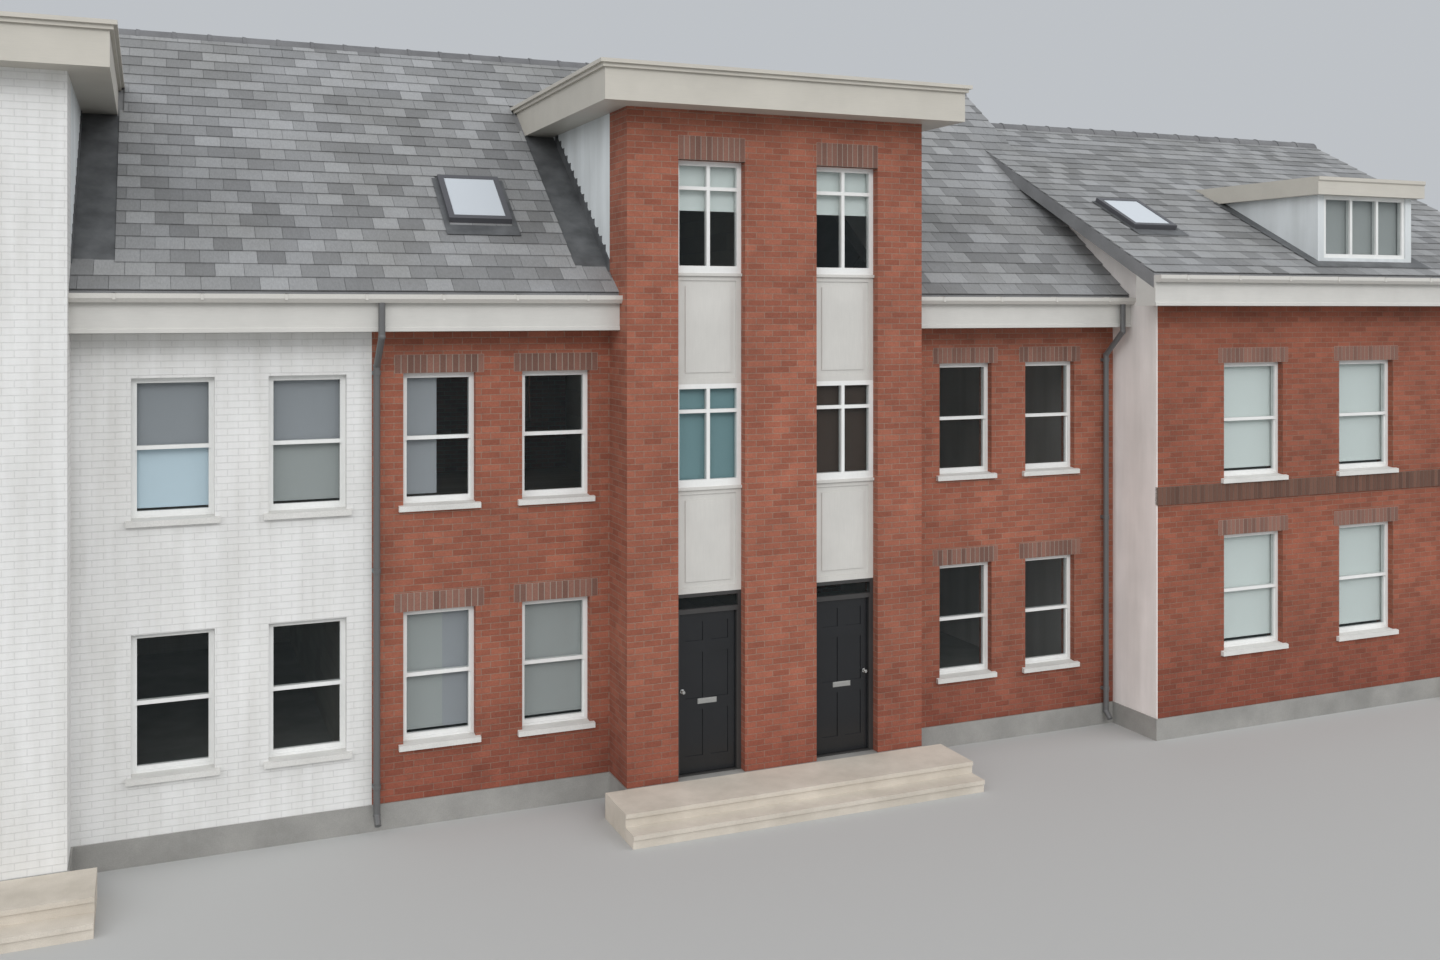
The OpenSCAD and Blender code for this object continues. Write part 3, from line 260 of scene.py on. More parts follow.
def bricks(tree, where, first, second, mortar, sizes=course):
    made = add(tree, "TexBrick", {
        "Vector": where, "Color1": (*first, 1), "Color2": (*second, 1), "Mortar": (*mortar, 1), "Scale": 1.0,
        "Mortar Size": sizes["joint"], "Mortar Smooth": sizes["soften"], "Bias": 0.0,
        "Brick Width": sizes["length"], "Row Height": sizes["height"]})
    return made.outputs["Color"], made.outputs["Fac"]


# Bare brick: speckled by a fine grain, stained by weather and varied from patch to patch
brickFace = {"roughness": 0.86, "grain": 60, "weather": 0.7, "patches": 3.2, "depth": 0.006, "strength": 0.8}


def brickwork(name, first, second, mortar):
    mat, tree, shader = startMaterial(name, brickFace["roughness"])
    where = wallPlace(tree)
    colour, joint = bricks(tree, where, first, second, mortar)
    grain = noise(tree, place(tree), brickFace["grain"])
    weather = noise(tree, place(tree), brickFace["weather"], detail=5)
    patches = noise(tree, where, brickFace["patches"], detail=3)
    speckled = tinted(tree, colour, grain, (0.25, grey(0.8)), (0.75, grey(1.12)))
    stained = tinted(tree, speckled, weather, (0.3, grey(0.82)), (0.7, grey(1.08)))
    clearOfFoot = tinted(tree, stained, patches, (0.35, grey(0.9)), (0.65, grey(1.06)))
    # The brick is darker and redder towards the foot of the wall
    final = blend(tree, 1.0, clearOfFoot, darkerFoot(tree), "MULTIPLY")
    tree.links.new(final, shader.inputs["Base Color"])
    wallRelief(tree, shader, grain, joint, brickFace["depth"], brickFace["strength"])
    return mat


# Painted brick: the joints show as a shade under the paint, and rain leaves upright streaks
paintedFace = {
    "roughness": 0.6, "jointShade": 0.9, "grain": 45, "streakStretch": (3, 3, 0.35), "streaks": 1.6,
    "wear": 0.8, "depth": 0.004, "strength": 0.7,
}


def paintedBrick(name, paint):
    mat, tree, shader = startMaterial(name, paintedFace["roughness"])
    where = wallPlace(tree)
    joint = bricks(tree, where, grey(1), grey(1), grey(0))[1]
    grain = noise(tree, place(tree), paintedFace["grain"])
    streaks = noise(tree, stretched(tree, paintedFace["streakStretch"]), paintedFace["streaks"], detail=5)
    worn = noise(tree, place(tree), paintedFace["wear"], detail=4)
    base = blend(tree, joint, paint, tuple(paintedFace["jointShade"] * part for part in paint))
    stained = tinted(tree, base, streaks, (0.3, (0.88, 0.875, 0.86)), (0.62, grey(1.0)))
    final = tinted(tree, stained, worn, (0.3, grey(0.93)), (0.7, grey(1.03)))
    tree.links.new(final, shader.inputs["Base Color"])
    wallRelief(tree, shader, grain, joint, paintedFace["depth"], paintedFace["strength"])
    return mat


# Smooth render with upright streaks
renderFace = {
    "roughness": 0.9, "streakStretch": (2.5, 2.5, 0.3), "streaks": 1.3, "patches": 1.1, "grit": 130,
    "depth": 0.003, "strength": 0.6,
}


def stucco(name, colour):
    mat, tree, shader = startMaterial(name, renderFace["roughness"])
    streaks = noise(tree, stretched(tree, renderFace["streakStretch"]), renderFace["streaks"], detail=5)
    patches = noise(tree, place(tree), renderFace["patches"], detail=4)
    streaked = tinted(tree, colour, streaks, (0.3, (0.86, 0.86, 0.85)), (0.65, grey(1.03)))
    final = tinted(tree, streaked, patches, (0.3, grey(0.93)), (0.7, grey(1.05)))
    tree.links.new(final, shader.inputs["Base Color"])
    grit = noise(tree, place(tree), renderFace["grit"], detail=3)
    relief(tree, shader, grit, renderFace["depth"], renderFace["strength"])
    return mat


# Blocks of the party walls
blockCourse = {"length": 0.45, "height": 0.225, "joint": 0.005, "soften": 0.2}
blockFace = {"roughness": 0.92, "grain": 90, "depth": 0.005, "strength": 0.7}


def blockwork(name, first, second, mortar):
    mat, tree, shader = startMaterial(name, blockFace["roughness"])
    colour, joint = bricks(tree, wallPlace(tree), first, second, mortar, blockCourse)
    grain = noise(tree, place(tree), blockFace["grain"])
    final = tinted(tree, colour, grain, (0.3, grey(0.85)), (0.7, grey(1.08)))
    tree.links.new(final, shader.inputs["Base Color"])
    wallRelief(tree, shader, grain, joint, blockFace["depth"], blockFace["strength"])
    return mat


# Stone, concrete, tile and felt: broad clouds of two shades under a fine grain
stoneFace = {"roughness": 0.85, "clouds": 1.8, "grain": 120, "depth": 0.0015, "strength": 0.7}


def stoneware(name, dark, light, roughness=stoneFace["roughness"], grainScale=stoneFace["grain"],
              depth=stoneFace["depth"]):
    mat, tree, shader = startMaterial(name, roughness)
    clouds = noise(tree, place(tree), stoneFace["clouds"], detail=6, roughness=0.6)
    grain = noise(tree, place(tree), grainScale, detail=3)
    base = ramp(tree, clouds, (0.3, dark), (0.7, light))
    final = tinted(tree, base, grain, (0.3, grey(0.9)), (0.7, grey(1.06)))
    tree.links.new(final, shader.inputs["Base Color"])
    relief(tree, shader, grain, depth, stoneFace["strength"])
    return mat


# The shade that each slate or brick carries in its faces' attribute "shade", from 0 to 1
def ownShade(tree):
    return add(tree, "Attribute", attribute_name="shade", attribute_type="GEOMETRY").outputs["Fac"]


slateFace = {
    "roughness": 0.62, "rivenStretch": (9, 3, 3), "riven": 6, "lichen": 0.9, "depth": 0.003, "strength": 0.6,
}


def slateMaterial(name, dark, light):
    mat, tree, shader = startMaterial(name, slateFace["roughness"])
    shade = ownShade(tree)
    where = stretched(tree, slateFace["rivenStretch"])
    riven = noise(tree, where, slateFace["riven"], detail=6, roughness=0.65)
    lichen = noise(tree, place(tree), slateFace["lichen"], detail=5)
    base = ramp(tree, shade, (0.0, dark), (1.0, light))
    veined = tinted(tree, base, riven, (0.3, grey(0.86)), (0.7, grey(1.1)))
    final = tinted(tree, veined, lichen, (0.3, (0.88, 0.87, 0.84)), (0.65, grey(1.04)))
    tree.links.new(final, shader.inputs["Base Color"])
    relief(tree, shader, riven, slateFace["depth"], slateFace["strength"])
    return mat


# Painted wood: grain runs along X, or upright where it is stretched so
woodFace = {
    "roughness": 0.42, "along": (1, 14, 14), "upright": (14, 14, 1), "wear": 0.94, "grain": 5, "dirt": 2.2,
    "depth": 0.0008, "strength": 0.5,
}


def paintedWood(name, colour, roughness=woodFace["roughness"], grainStretch=woodFace["along"],
                wear=woodFace["wear"]):
    mat, tree, shader = startMaterial(name, roughness)
    grain = noise(tree, stretched(tree, grainStretch), woodFace["grain"], detail=5)
    dirt = noise(tree, place(tree), woodFace["dirt"], detail=5)
    base = tinted(tree, colour, dirt, (0.3, grey(wear)), (0.65, grey(1.02)))
    final = tinted(tree, base, grain, (0.3, grey(0.965)), (0.7, grey(1.01)))
    tree.links.new(final, shader.inputs["Base Color"])
    relief(tree, shader, grain, woodFace["depth"], woodFace["strength"])
    return mat


# Floor boards, with dark gaps between them
boardCourse = {"length": 2.4, "height": 0.14, "joint": 0.0015, "soften": 0.1}
boardFace = {
    "roughness": 0.6, "gapShade": 0.4, "grainStretch": (2, 30, 30), "grain": 3,
    "depth": 0.001, "strength": 0.4,
}


def floorBoards(name, dark, light):
    mat, tree, shader = startMaterial(name, boardFace["roughness"])
    gap = tuple(boardFace["gapShade"] * part for part in dark)
    colour = bricks(tree, wallPlace(tree), dark, light, gap, boardCourse)[0]
    grain = noise(tree, stretched(tree, boardFace["grainStretch"]), boardFace["grain"], detail=5)
    final = tinted(tree, colour, grain, (0.3, grey(0.85)), (0.7, grey(1.06)))
    tree.links.new(final, shader.inputs["Base Color"])
    relief(tree, shader, grain, boardFace["depth"], boardFace["strength"])
    return mat


leadFace = {"roughness": 0.48, "metallic": 0.35, "clouds": 3.5, "depth": 0.006, "strength": 0.5}


def leadSheet(name, dark, light):
    mat, tree, shader = startMaterial(name, leadFace["roughness"], leadFace["metallic"])
    clouds = noise(tree, place(tree), leadFace["clouds"], detail=6)
    base = ramp(tree, clouds, (0.3, dark), (0.7, light))
    tree.links.new(base, shader.inputs["Base Color"])
    relief(tree, shader, clouds, leadFace["depth"], leadFace["strength"])
    return mat


# Clear glass that mirrors more the flatter it is looked along: slant ** steepness * mirror + tintShare,
# where tintShare is the share shown as a flat surface in the tint colour
glassFace = {
    "roughness": 0.03, "specular": 0.8, "waves": 1.4, "depth": 0.004, "strength": 0.35,
    "clear": (0.97, 0.985, 0.985), "facing": 0.5, "steepness": 3.0, "mirror": 0.9, "tintShare": 0.06,
}


def windowGlass(name, tint, tintShare=glassFace["tintShare"]):
    mat, tree, shader = startMaterial(name, glassFace["roughness"])
    shader.inputs["Base Color"].default_value = (*tint, 1)
    shader.inputs["Specular IOR Level"].default_value = glassFace["specular"]
    waves = noise(tree, place(tree), glassFace["waves"], detail=2)
    relief(tree, shader, waves, glassFace["depth"], glassFace["strength"])
    clear = add(tree, "BsdfTransparent", {"Color": (*glassFace["clear"], 1)})
    slant = add(tree, "LayerWeight", {"Blend": glassFace["facing"]}).outputs["Facing"]
    steep = add(tree, "Math", {0: slant, 1: glassFace["steepness"]}, operation="POWER")
    share = add(tree, "Math", {0: steep.outputs[0], 1: glassFace["mirror"], 2: tintShare},
                operation="MULTIPLY_ADD")
    mixed = add(tree, "MixShader", {0: share.outputs[0], 1: clear.outputs[0], 2: shader.outputs[0]})
    tree.links.new(mixed.outputs[0], tree.nodes["Material Output"].inputs["Surface"])
    return mat


metalFace = {"brushStretch": (4, 4, 60), "brush": 12, "depth": 0.0003, "strength": 0.5}


def metalFinish(name, colour, roughness, metallic=1.0):
    mat, tree, shader = startMaterial(name, roughness, metallic)
    brushed = noise(tree, stretched(tree, metalFace["brushStretch"]), metalFace["brush"], detail=4)
    final = tinted(tree, colour, brushed, (0.3, grey(0.88)), (0.7, grey(1.05)))
    tree.links.new(final, shader.inputs["Base Color"])
    relief(tree, shader, brushed, metalFace["depth"], metalFace["strength"])
    return mat


# Finishes, in linear colour
brickRed = brickwork("streetBrick", (0.275, 0.082, 0.047), (0.375, 0.125, 0.074), (0.32, 0.205, 0.15))
brickDark = brickwork("endHouseBrick", (0.245, 0.068, 0.036), (0.335, 0.1, 0.056), (0.28, 0.165, 0.115))
whitePaint = paintedBrick("whitePaintedBrick", (0.775, 0.77, 0.755))
greyStucco = stucco("greyRender", (0.7, 0.73, 0.74))
warmStucco = stucco("flankRender", (0.84, 0.79, 0.76))
blocks = blockwork("partyBlocks", (0.42, 0.38, 0.33), (0.5, 0.46, 0.41), (0.36, 0.34, 0.31))
concrete = stoneware("plinthConcrete", (0.24, 0.235, 0.22), (0.34, 0.33, 0.31))
stepStone = stoneware("stepStone", (0.5, 0.45, 0.38), (0.66, 0.6, 0.52))
sillStone = stoneware("sillStone", (0.6, 0.59, 0.56), (0.7, 0.69, 0.66), roughness=0.75)
slate = slateMaterial("roofSlate", (0.178, 0.18, 0.183), (0.325, 0.329, 0.335))
underSlate = stoneware("slateBed", (0.18, 0.181, 0.185), (0.25, 0.252, 0.257))
ridgeClay = stoneware("ridgeTile", (0.12, 0.12, 0.125), (0.19, 0.19, 0.195), roughness=0.7)
deckFelt = stoneware("deckFelt", (0.2, 0.205, 0.21), (0.28, 0.285, 0.29), roughness=0.9,
                     grainScale=200, depth=0.002)
creamBoard = paintedWood("creamBoard", (0.53, 0.5, 0.44))
paleBoard = paintedWood("paleBoard", (0.6, 0.585, 0.55))
panelPaint = paintedWood("panelPaint", (0.6, 0.585, 0.55), roughness=0.4,
                         grainStretch=woodFace["upright"])
framePaint = paintedWood("framePaint", (0.8, 0.8, 0.78), roughness=0.35, grainStretch=(10, 10, 3))
gutterPaint = metalFinish("gutterPaint", (0.6, 0.58, 0.54), roughness=0.4, metallic=0.0)
pipePaint = metalFinish("pipePaint", (0.12, 0.12, 0.12), roughness=0.38, metallic=0.0)
doorPaint = paintedWood("doorPaint", (0.012, 0.013, 0.015), roughness=0.22,
                        grainStretch=woodFace["upright"], wear=0.8)
lead = leadSheet("lead", (0.08, 0.083, 0.086), (0.16, 0.165, 0.17))
boards = floorBoards("floorBoards", (0.36, 0.24, 0.13), (0.46, 0.32, 0.19))
fittings = metalFinish("doorFittings", (0.62, 0.62, 0.6), roughness=0.25)
darkMetal = metalFinish("rooflightMetal", (0.1, 0.1, 0.11), roughness=0.4, metallic=0.2)
doorFramePaint = paintedWood("doorFramePaint", (0.045, 0.043, 0.042), roughness=0.35,
                             grainStretch=woodFace["upright"], wear=0.85)
glass = windowGlass("windowGlass", (0.1, 0.12, 0.125))
# The rooflights' pale sky-coloured tint, over most of their glass, is a painted sky reflection
paintedSkyGlass = windowGlass("rooflightPaintedSkyGlass", (0.62, 0.66, 0.7), tintShare=0.8)
print("materials ready")

# Finish of each CAD node
nodeFinish = {
    "row_plinth": concrete, "tower_bases": concrete, "end_plinth": concrete, "ground_floors": concrete,
    "first_floors": boards, "second_floors": boards, "landings": stepStone,
    "white_front_walls": whitePaint, "white_tower_front": whitePaint, "white_rear_wall": whitePaint,
    "brick_front_walls": brickRed, "brick_tower_piers": brickRed, "brick_tower_head": brickRed,
    "brick_rear_wall": brickRed, "end_front_wall": brickDark, "end_rear_wall": brickDark,
    "string_course": brickDark, "tower_cheeks": greyStucco, "end_left_wall": warmStucco,
    "dormer_walls": greyStucco,
    "left_end_wall": blocks, "inner_party_walls": blocks, "right_end_wall": blocks,
    "main_gable": greyStucco, "main_roof_front": underSlate, "main_roof_rear": underSlate,
    "end_roof_front": underSlate, "end_roof_rear": underSlate, "ridge_tiles": ridgeClay,
    "tower_roof_decks": deckFelt, "tower_fascias": creamBoard, "front_fascias": paleBoard,
    "rear_fascias": paleBoard, "dormer_roof": creamBoard, "gutters": gutterPaint, "downpipes": pipePaint,
    "tower_flashings": lead, "wing_window_frames": framePaint, "end_window_frames": framePaint,
    "tower_window_frames": framePaint, "rear_window_frames": framePaint, "dormer_window_frame": framePaint,
    "brick_door_frames": doorFramePaint, "fixed_door_frames": doorFramePaint, "tower_panels": panelPaint,
    "sills": sillStone, "left_door": doorPaint, "right_door": doorPaint, "fixed_doors": doorPaint,
    "left_door_furniture": fittings, "right_door_furniture": fittings, "rooflight_frames": darkMetal,
    "window_glass": glass, "tower_glass": glass, "rooflight_glass": paintedSkyGlass, "dormer_glass": glass,
}
for nodeName, finish in nodeFinish.items():
    for materialSlot in nodes[nodeName].material_slots:
        materialSlot.material = finish
print("finishes set on", len(nodeFinish), "nodes")


# New pieces
def finishPiece(bm, name, material, body="row", replaced=()):
    bmesh.ops.recalc_face_normals(bm, faces=bm.faces)
    mesh = bpy.data.meshes.new(name)
    bm.to_mesh(mesh)
    bm.free()
    mesh.materials.append(material)
    piece = bpy.data.objects.new(name, mesh)
    bpy.context.scene.collection.objects.link(piece)
    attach(piece, body)
    if replaced:
        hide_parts(*replaced)
    print(name, len(mesh.polygons), "faces")


def block(bm, low, high):
    low, high = Vector(low), Vector(high)
    middle = Matrix.Translation((low + high) / 2)
    return bmesh.ops.create_cube(bm, size=1, matrix=middle @ Matrix.Diagonal((*(high - low), 1)))


# Gives every face of a block just made the same tone
def toneBlock(made, shade, tone):
    for face in {face for vert in made["verts"] for face in vert.link_faces}:
        face[shade] = tone


# Corners closer than this in a CAD node count as one, in metres
sameCorner = 0.0005


# Boxes round the separate solids of a CAD node, such as one window frame each
def looseBoxes(name):
    bm = bmesh.new()
    bm.from_mesh(nodes[name].data)
    bmesh.ops.remove_doubles(bm, verts=bm.verts, dist=sameCorner)
    waiting = set(bm.verts)
    found = []
    while waiting:
        stack = [waiting.pop()]
        group = []
        while stack:
            vert = stack.pop()
            group.append(vert.co.copy())
            for edge in vert.link_edges:
                other = edge.other_vert(vert)
                if other in waiting:
                    waiting.remove(other)
                    stack.append(other)
        low = Vector(min(corner[axis] for corner in group) for axis in range(3))
        high = Vector(max(corner[axis] for corner in group) for axis in range(3))
        found.append((low, high))
    bm.free()
    return sorted(found, key=lambda box: tuple(box[0]))


# Slates in staggered courses up a slope, each one lying on the course below
slates = {
    "width": 0.3,
    "narrowest": 0.04,        # a strip under this width at a cut is left out
    "gauge": 0.235,           # from one course to the next, before it is fitted to the slope
    "lap": 0.06,
    "thickness": 0.011,
    "lift": 0.014,            # how far a slate rises towards its foot over one gauge
    "gap": 0.004,
    "scatter": 0.006,         # of a slate's lean
    "seed": 11,
    "underFrame": 0.02,       # how far they run under a rooflight's frame
    "underFascia": 0.05,      # and under the back of a tower's fascia
}


# The parts of a course that no hole cuts, where each hole is (left, right, front, back)
def openStretches(start, end, holes, y):
    stretches = [(start, end)]
    for left, right, front, back in holes:
        if front < y < back:
            cut = []
            for a, b in stretches:
                if right <= a or left >= b:
                    cut.append((a, b))
                    continue
                if a < left:
                    cut.append((a, left))
                if right < b:
                    cut.append((right, b))
            stretches = cut
    return stretches


def laySlates(name, left, right, eaves, ridge, holes):
    chance = random.Random(slates["seed"])
    run = Vector((0, ridge[0] - eaves[0], ridge[1] - eaves[1]))
    up = run.normalized()
    outward = Vector((0, -up.z, up.y)) if up.y > 0 else Vector((0, up.z, -up.y))
    bm = bmesh.new()
    shade = bm.faces.layers.float.new("shade")
    courses = int(run.length / slates["gauge"])
    gauge = run.length / courses
    tilt = slates["lift"] / gauge
    for row in range(courses):
        middle = Vector((0, *eaves)) + up * (gauge * (row + 0.5))
        for a, b in openStretches(left, right, holes, middle.y):
            first = left + slates["width"] * (0.5 if row % 2 else 0.0)
            x = first + slates["width"] * math.floor((a - first) / slates["width"])
            while x < b:
                x0, x1 = max(x, a), min(x + slates["width"], b)
                x += slates["width"]
                if x1 - x0 < slates["narrowest"]:
                    continue
                length = gauge + (slates["lap"] if row < courses - 1 else 0)
                raised = outward * (slates["lift"] / 2 + slates["thickness"] / 2)
                centre = middle + up * ((length - gauge) / 2) + raised
                scatter = chance.uniform(-slates["scatter"], slates["scatter"])
                lean = (up - outward * (tilt + scatter)).normalized()
                across = Vector((1, 0, 0))
                face = across.cross(lean)
                if face.dot(outward) <= 0:
                    face.negate()
                turn = Matrix((across, lean, face)).transposed().to_4x4()
                turn.translation = centre + Vector(((x0 + x1) / 2, 0, 0))
                size = Matrix.Diagonal((x1 - x0 - slates["gap"], length, slates["thickness"], 1))
                made = bmesh.ops.create_cube(bm, size=1, matrix=turn @ size)
                toneBlock(made, shade, chance.random())
    finishPiece(bm, name, slate)


# A roof slope's upper face from its CAD node: (distance back, height) of its eaves and of its ridge
def slopeEnds(name, eavesInFront=True):
    low, high = edges(name)
    edgeY, ridgeY = (low.y, high.y) if eavesInFront else (high.y, low.y)
    atEdge = [vert.co.z for vert in nodes[name].data.vertices if abs(vert.co.y - edgeY) < 2 * sameCorner]
    return (edgeY, max(atEdge)), (ridgeY, high.z)


# Distance back at which two slopes reach the same height
def crossing(first, second):
    (y0, z0), (y1, z1) = first
    (u0, v0), (u1, v1) = second
    fall, otherFall = (z1 - z0) / (y1 - y0), (v1 - v0) / (u1 - u0)
    return (v0 - u0 * otherFall - z0 + y0 * fall) / (fall - otherFall)


lightBoxes = looseBoxes("rooflight_frames")
cheekBoxes = looseBoxes("tower_cheeks")
cheekBack = cheekBoxes[0][1].y
dormerLow, dormerHigh = edges("dormer_walls")
dormerRoofLow, dormerRoofHigh = edges("dormer_roof")
mainFront, mainRear = slopeEnds("main_roof_front"), slopeEnds("main_roof_rear", False)
endFront, endRear = slopeEnds("end_roof_front"), slopeEnds("end_roof_rear", False)
crossFront, crossRear = crossing(mainFront, endFront), crossing(mainRear, endRear)

# Holes in the slates. One that is open to a side reaches past everything on that side
farBack = 100
past = 1
pastGable = mainRoofHigh.x + past
under = slates["underFrame"]
lightHoles = [(low.x + under, high.x - under, low.y + under, high.y - under) for low, high in lightBoxes]
towerHoles = []
for left, right in zip(cheekBoxes[0::2], cheekBoxes[1::2]):
    towerHoles.append((left[0].x, right[1].x, -farBack, left[1].y))
for low, high in looseBoxes("tower_flashings"):
    towerHoles.append((low.x, high.x, low.y, high.y))
for low, high in looseBoxes("tower_fascias"):
    towerHoles.append((low.x, high.x, cheekBack, high.y - slates["underFascia"]))
dormerHoles = [
    (dormerLow.x, dormerHigh.x, dormerLow.y, dormerHigh.y),
    (dormerRoofLow.x, dormerRoofHigh.x, dormerHigh.y, dormerRoofHigh.y),
]
mainFrontHoles = lightHoles + towerHoles + [(endWallLow.x, pastGable, -farBack, crossFront)]
mainRearHoles = [(endWallLow.x, pastGable, crossRear, farBack)]
endFrontHoles = lightHoles + dormerHoles + [(endRoofLow.x - past, mainRoofHigh.x, crossFront, farBack)]
endRearHoles = [(endRearLow.x - past, mainRearHigh.x, -farBack, crossRear)]
laySlates("mainSlatesFront", mainRoofLow.x, mainRoofHigh.x, *mainFront, mainFrontHoles)
laySlates("mainSlatesRear", mainRearLow.x, mainRearHigh.x, *mainRear, mainRearHoles)
laySlates("endSlatesFront", endRoofLow.x, endRoofHigh.x, *endFront, endFrontHoles)
laySlates("endSlatesRear", endRearLow.x, endRearHigh.x, *endRear, endRearHoles)


# Collars where one ridge tile laps the next
ridgeTiles = {"length": 0.45, "collar": 0.05, "proud": 0.012, "taper": 0.4, "sides": 24}


def collarRidges():
    bm = bmesh.new()
    for low, high in looseBoxes("ridge_tiles"):
        radius = (high.y - low.y) / 2
        centreZ = high.z - radius
        wide = radius + ridgeTiles["proud"]
        narrow = radius + ridgeTiles["proud"] * ridgeTiles["taper"]
        count = int((high.x - low.x) / ridgeTiles["length"])
        for joint in range(1, count):
            x = low.x + joint * (high.x - low.x) / count
            middle = Matrix.Translation((x, (low.y + high.y) / 2, centreZ))
            turn = middle @ Matrix.Rotation(math.pi / 2, 4, "Y")
            bmesh.ops.create_cone(bm, cap_ends=True, segments=ridgeTiles["sides"], radius1=wide,
                                  radius2=narrow, depth=ridgeTiles["collar"], matrix=turn)
    finishPiece(bm, "ridgeCollars", ridgeClay)


collarRidges()


# Lead dressed over the slates round the dormer and the rooflights, and in steps up the towers' cheeks
leadwork = {
    "width": 0.2,             # beside the dormer
    "narrowing": 3,           # beside a rooflight it is this many times narrower
    "apron": 0.16,            # below the front edge
    "lift": 0.032,
    "thickness": 0.003,
    "step": 0.15,
    "upstand": 0.15,
    "proud": 0.004,
}


def slopeHeight(slope, y):
    (y0, z0), (y1, z1) = slope
    return z0 + (y - y0) * (z1 - z0) / (y1 - y0)


def layLead(bm, slope, left, right, front, back):
    low = Vector((0, front, slopeHeight(slope, front)))
    high = Vector((0, back, slopeHeight(slope, back)))
    up = (high - low).normalized()
    outward = Vector((0, -up.z, up.y))
    turn = Matrix((Vector((1, 0, 0)), up, outward)).transposed().to_4x4()
    turn.translation = (low + high) / 2 + outward * leadwork["lift"] + Vector(((left + right) / 2, 0, 0))
    size = Matrix.Diagonal((right - left, (high - low).length, leadwork["thickness"], 1))
    bmesh.ops.create_cube(bm, size=1, matrix=turn @ size)


def surroundWithLead(bm, slope, left, right, front, back, width):
    layLead(bm, slope, left - width, left, front - leadwork["apron"], back)
    layLead(bm, slope, right, right + width, front - leadwork["apron"], back)
    layLead(bm, slope, left, right, front - leadwork["apron"], front)


# Side is -1 for a cheek that faces left and 1 for one that faces right
def stepUpCheek(bm, low, high, side):
    outer = low.x if side < 0 else high.x
    x0, x1 = sorted((outer, outer + side * leadwork["proud"]))
    y = low.y
    while y + leadwork["step"] < high.y:
        foot = slopeHeight(mainFront, y)
        top = min(foot + leadwork["upstand"] + leadwork["step"] / 2, high.z)
        if low.z < foot < top:
            block(bm, (x0, y, foot), (x1, y + leadwork["step"], top))
        y += leadwork["step"]


def dressLead():
    bm = bmesh.new()
    width = leadwork["width"]
    surroundWithLead(bm, endFront, dormerLow.x, dormerHigh.x, dormerLow.y, dormerHigh.y, width)
    for low, high in lightBoxes:
        slope = endFront if low.x > endWallLow.x else mainFront
        surroundWithLead(bm, slope, low.x, high.x, low.y, high.y, width / leadwork["narrowing"])
    for number, (low, high) in enumerate(cheekBoxes):
        stepUpCheek(bm, low, high, -1 if number % 2 == 0 else 1)
    finishPiece(bm, "roofLead", lead)


dressLead()


# Heads of bricks on end over the openings, each brick a little proud of its mortar
soldiers = {
    "brick": 0.065,
    "joint": 0.01,
    "height": 0.215,
    "towerHeight": 0.29,      # over the brick tower's openings
    "bearing": 0.1,           # past each side of the opening
    "proud": 0.004,
    "mortarProud": 0.001,
    "endJoint": 0.003,        # above and below each brick
    "depth": 0.05,
    "seed": 5,
}
soldierFace = {"roughness": 0.86, "grain": 60, "depth": 0.003, "strength": 0.7}


def shadedBrick(name, dark, light):
    mat, tree, shader = startMaterial(name, soldierFace["roughness"])
    shade = ownShade(tree)
    grain = noise(tree, place(tree), soldierFace["grain"])
    base = ramp(tree, shade, (0.0, dark), (1.0, light))
    final = tinted(tree, base, grain, (0.25, grey(0.8)), (0.75, grey(1.1)))
    tree.links.new(final, shader.inputs["Base Color"])
    relief(tree, shader, grain, soldierFace["depth"], soldierFace["strength"])
    return mat


# One group of rows: the bricks, their mortar, the bricks' own shades and what draws them
def startRows(seed):
    rows = {"bricks": bmesh.new(), "mortar": bmesh.new(), "chance": random.Random(seed)}
    rows["shade"] = rows["bricks"].faces.layers.float.new("shade")
    return rows


# Front is -1 for a wall that faces the street and 1 for one that faces the back
def soldierRow(rows, left, right, faceY, bottom, height, front=-1):
    count = max(1, round((right - left) / (soldiers["brick"] + soldiers["joint"])))
    step = (right - left) / count
    out = faceY + front * soldiers["proud"]
    back = faceY - front * soldiers["depth"]
    top = bottom + height
    for number in range(count):
        x0 = left + number * step + soldiers["joint"] / 2
        x1 = x0 + step - soldiers["joint"]
        low = (x0, min(out, back), bottom + soldiers["endJoint"])
        high = (x1, max(out, back), top - soldiers["endJoint"])
        made = block(rows["bricks"], low, high)
        toneBlock(made, rows["shade"], rows["chance"].random())
    skin = faceY + front * soldiers["mortarProud"]
    block(rows["mortar"], (left, min(skin, back), bottom), (right, max(skin, back), top))


# Frames of a node that stand in the brick part of the row
def brickFrames(name):
    return [box for box in looseBoxes(name) if box[0].x > brickWallLow.x]


def buildSoldiers():
    rows = startRows(soldiers["seed"])
    walls = [
        (brickFrames("wing_window_frames"), wingFaceY, -1),
        (looseBoxes("end_window_frames"), endFrontLow.y, -1),
        (brickFrames("rear_window_frames"), rearFaceY, 1),
    ]
    for frames, faceY, front in walls:
        for low, high in frames:
            left, right = low.x - soldiers["bearing"], high.x + soldiers["bearing"]
            soldierRow(rows, left, right, faceY, high.z, soldiers["height"], front)
    for low, high in looseBoxes("brick_tower_head"):
        soldierRow(rows, low.x, high.x, low.y, low.z, soldiers["towerHeight"])
    finishPiece(rows["bricks"], "soldierBricks", soldierBrick)
    finishPiece(rows["mortar"], "soldierMortar", jointMortar)


soldierBrick = shadedBrick("soldierBrick", (0.16, 0.08, 0.06), (0.27, 0.13, 0.095))
jointMortar = stoneware("jointMortar", (0.3, 0.26, 0.22), (0.38, 0.34, 0.29))
buildSoldiers()


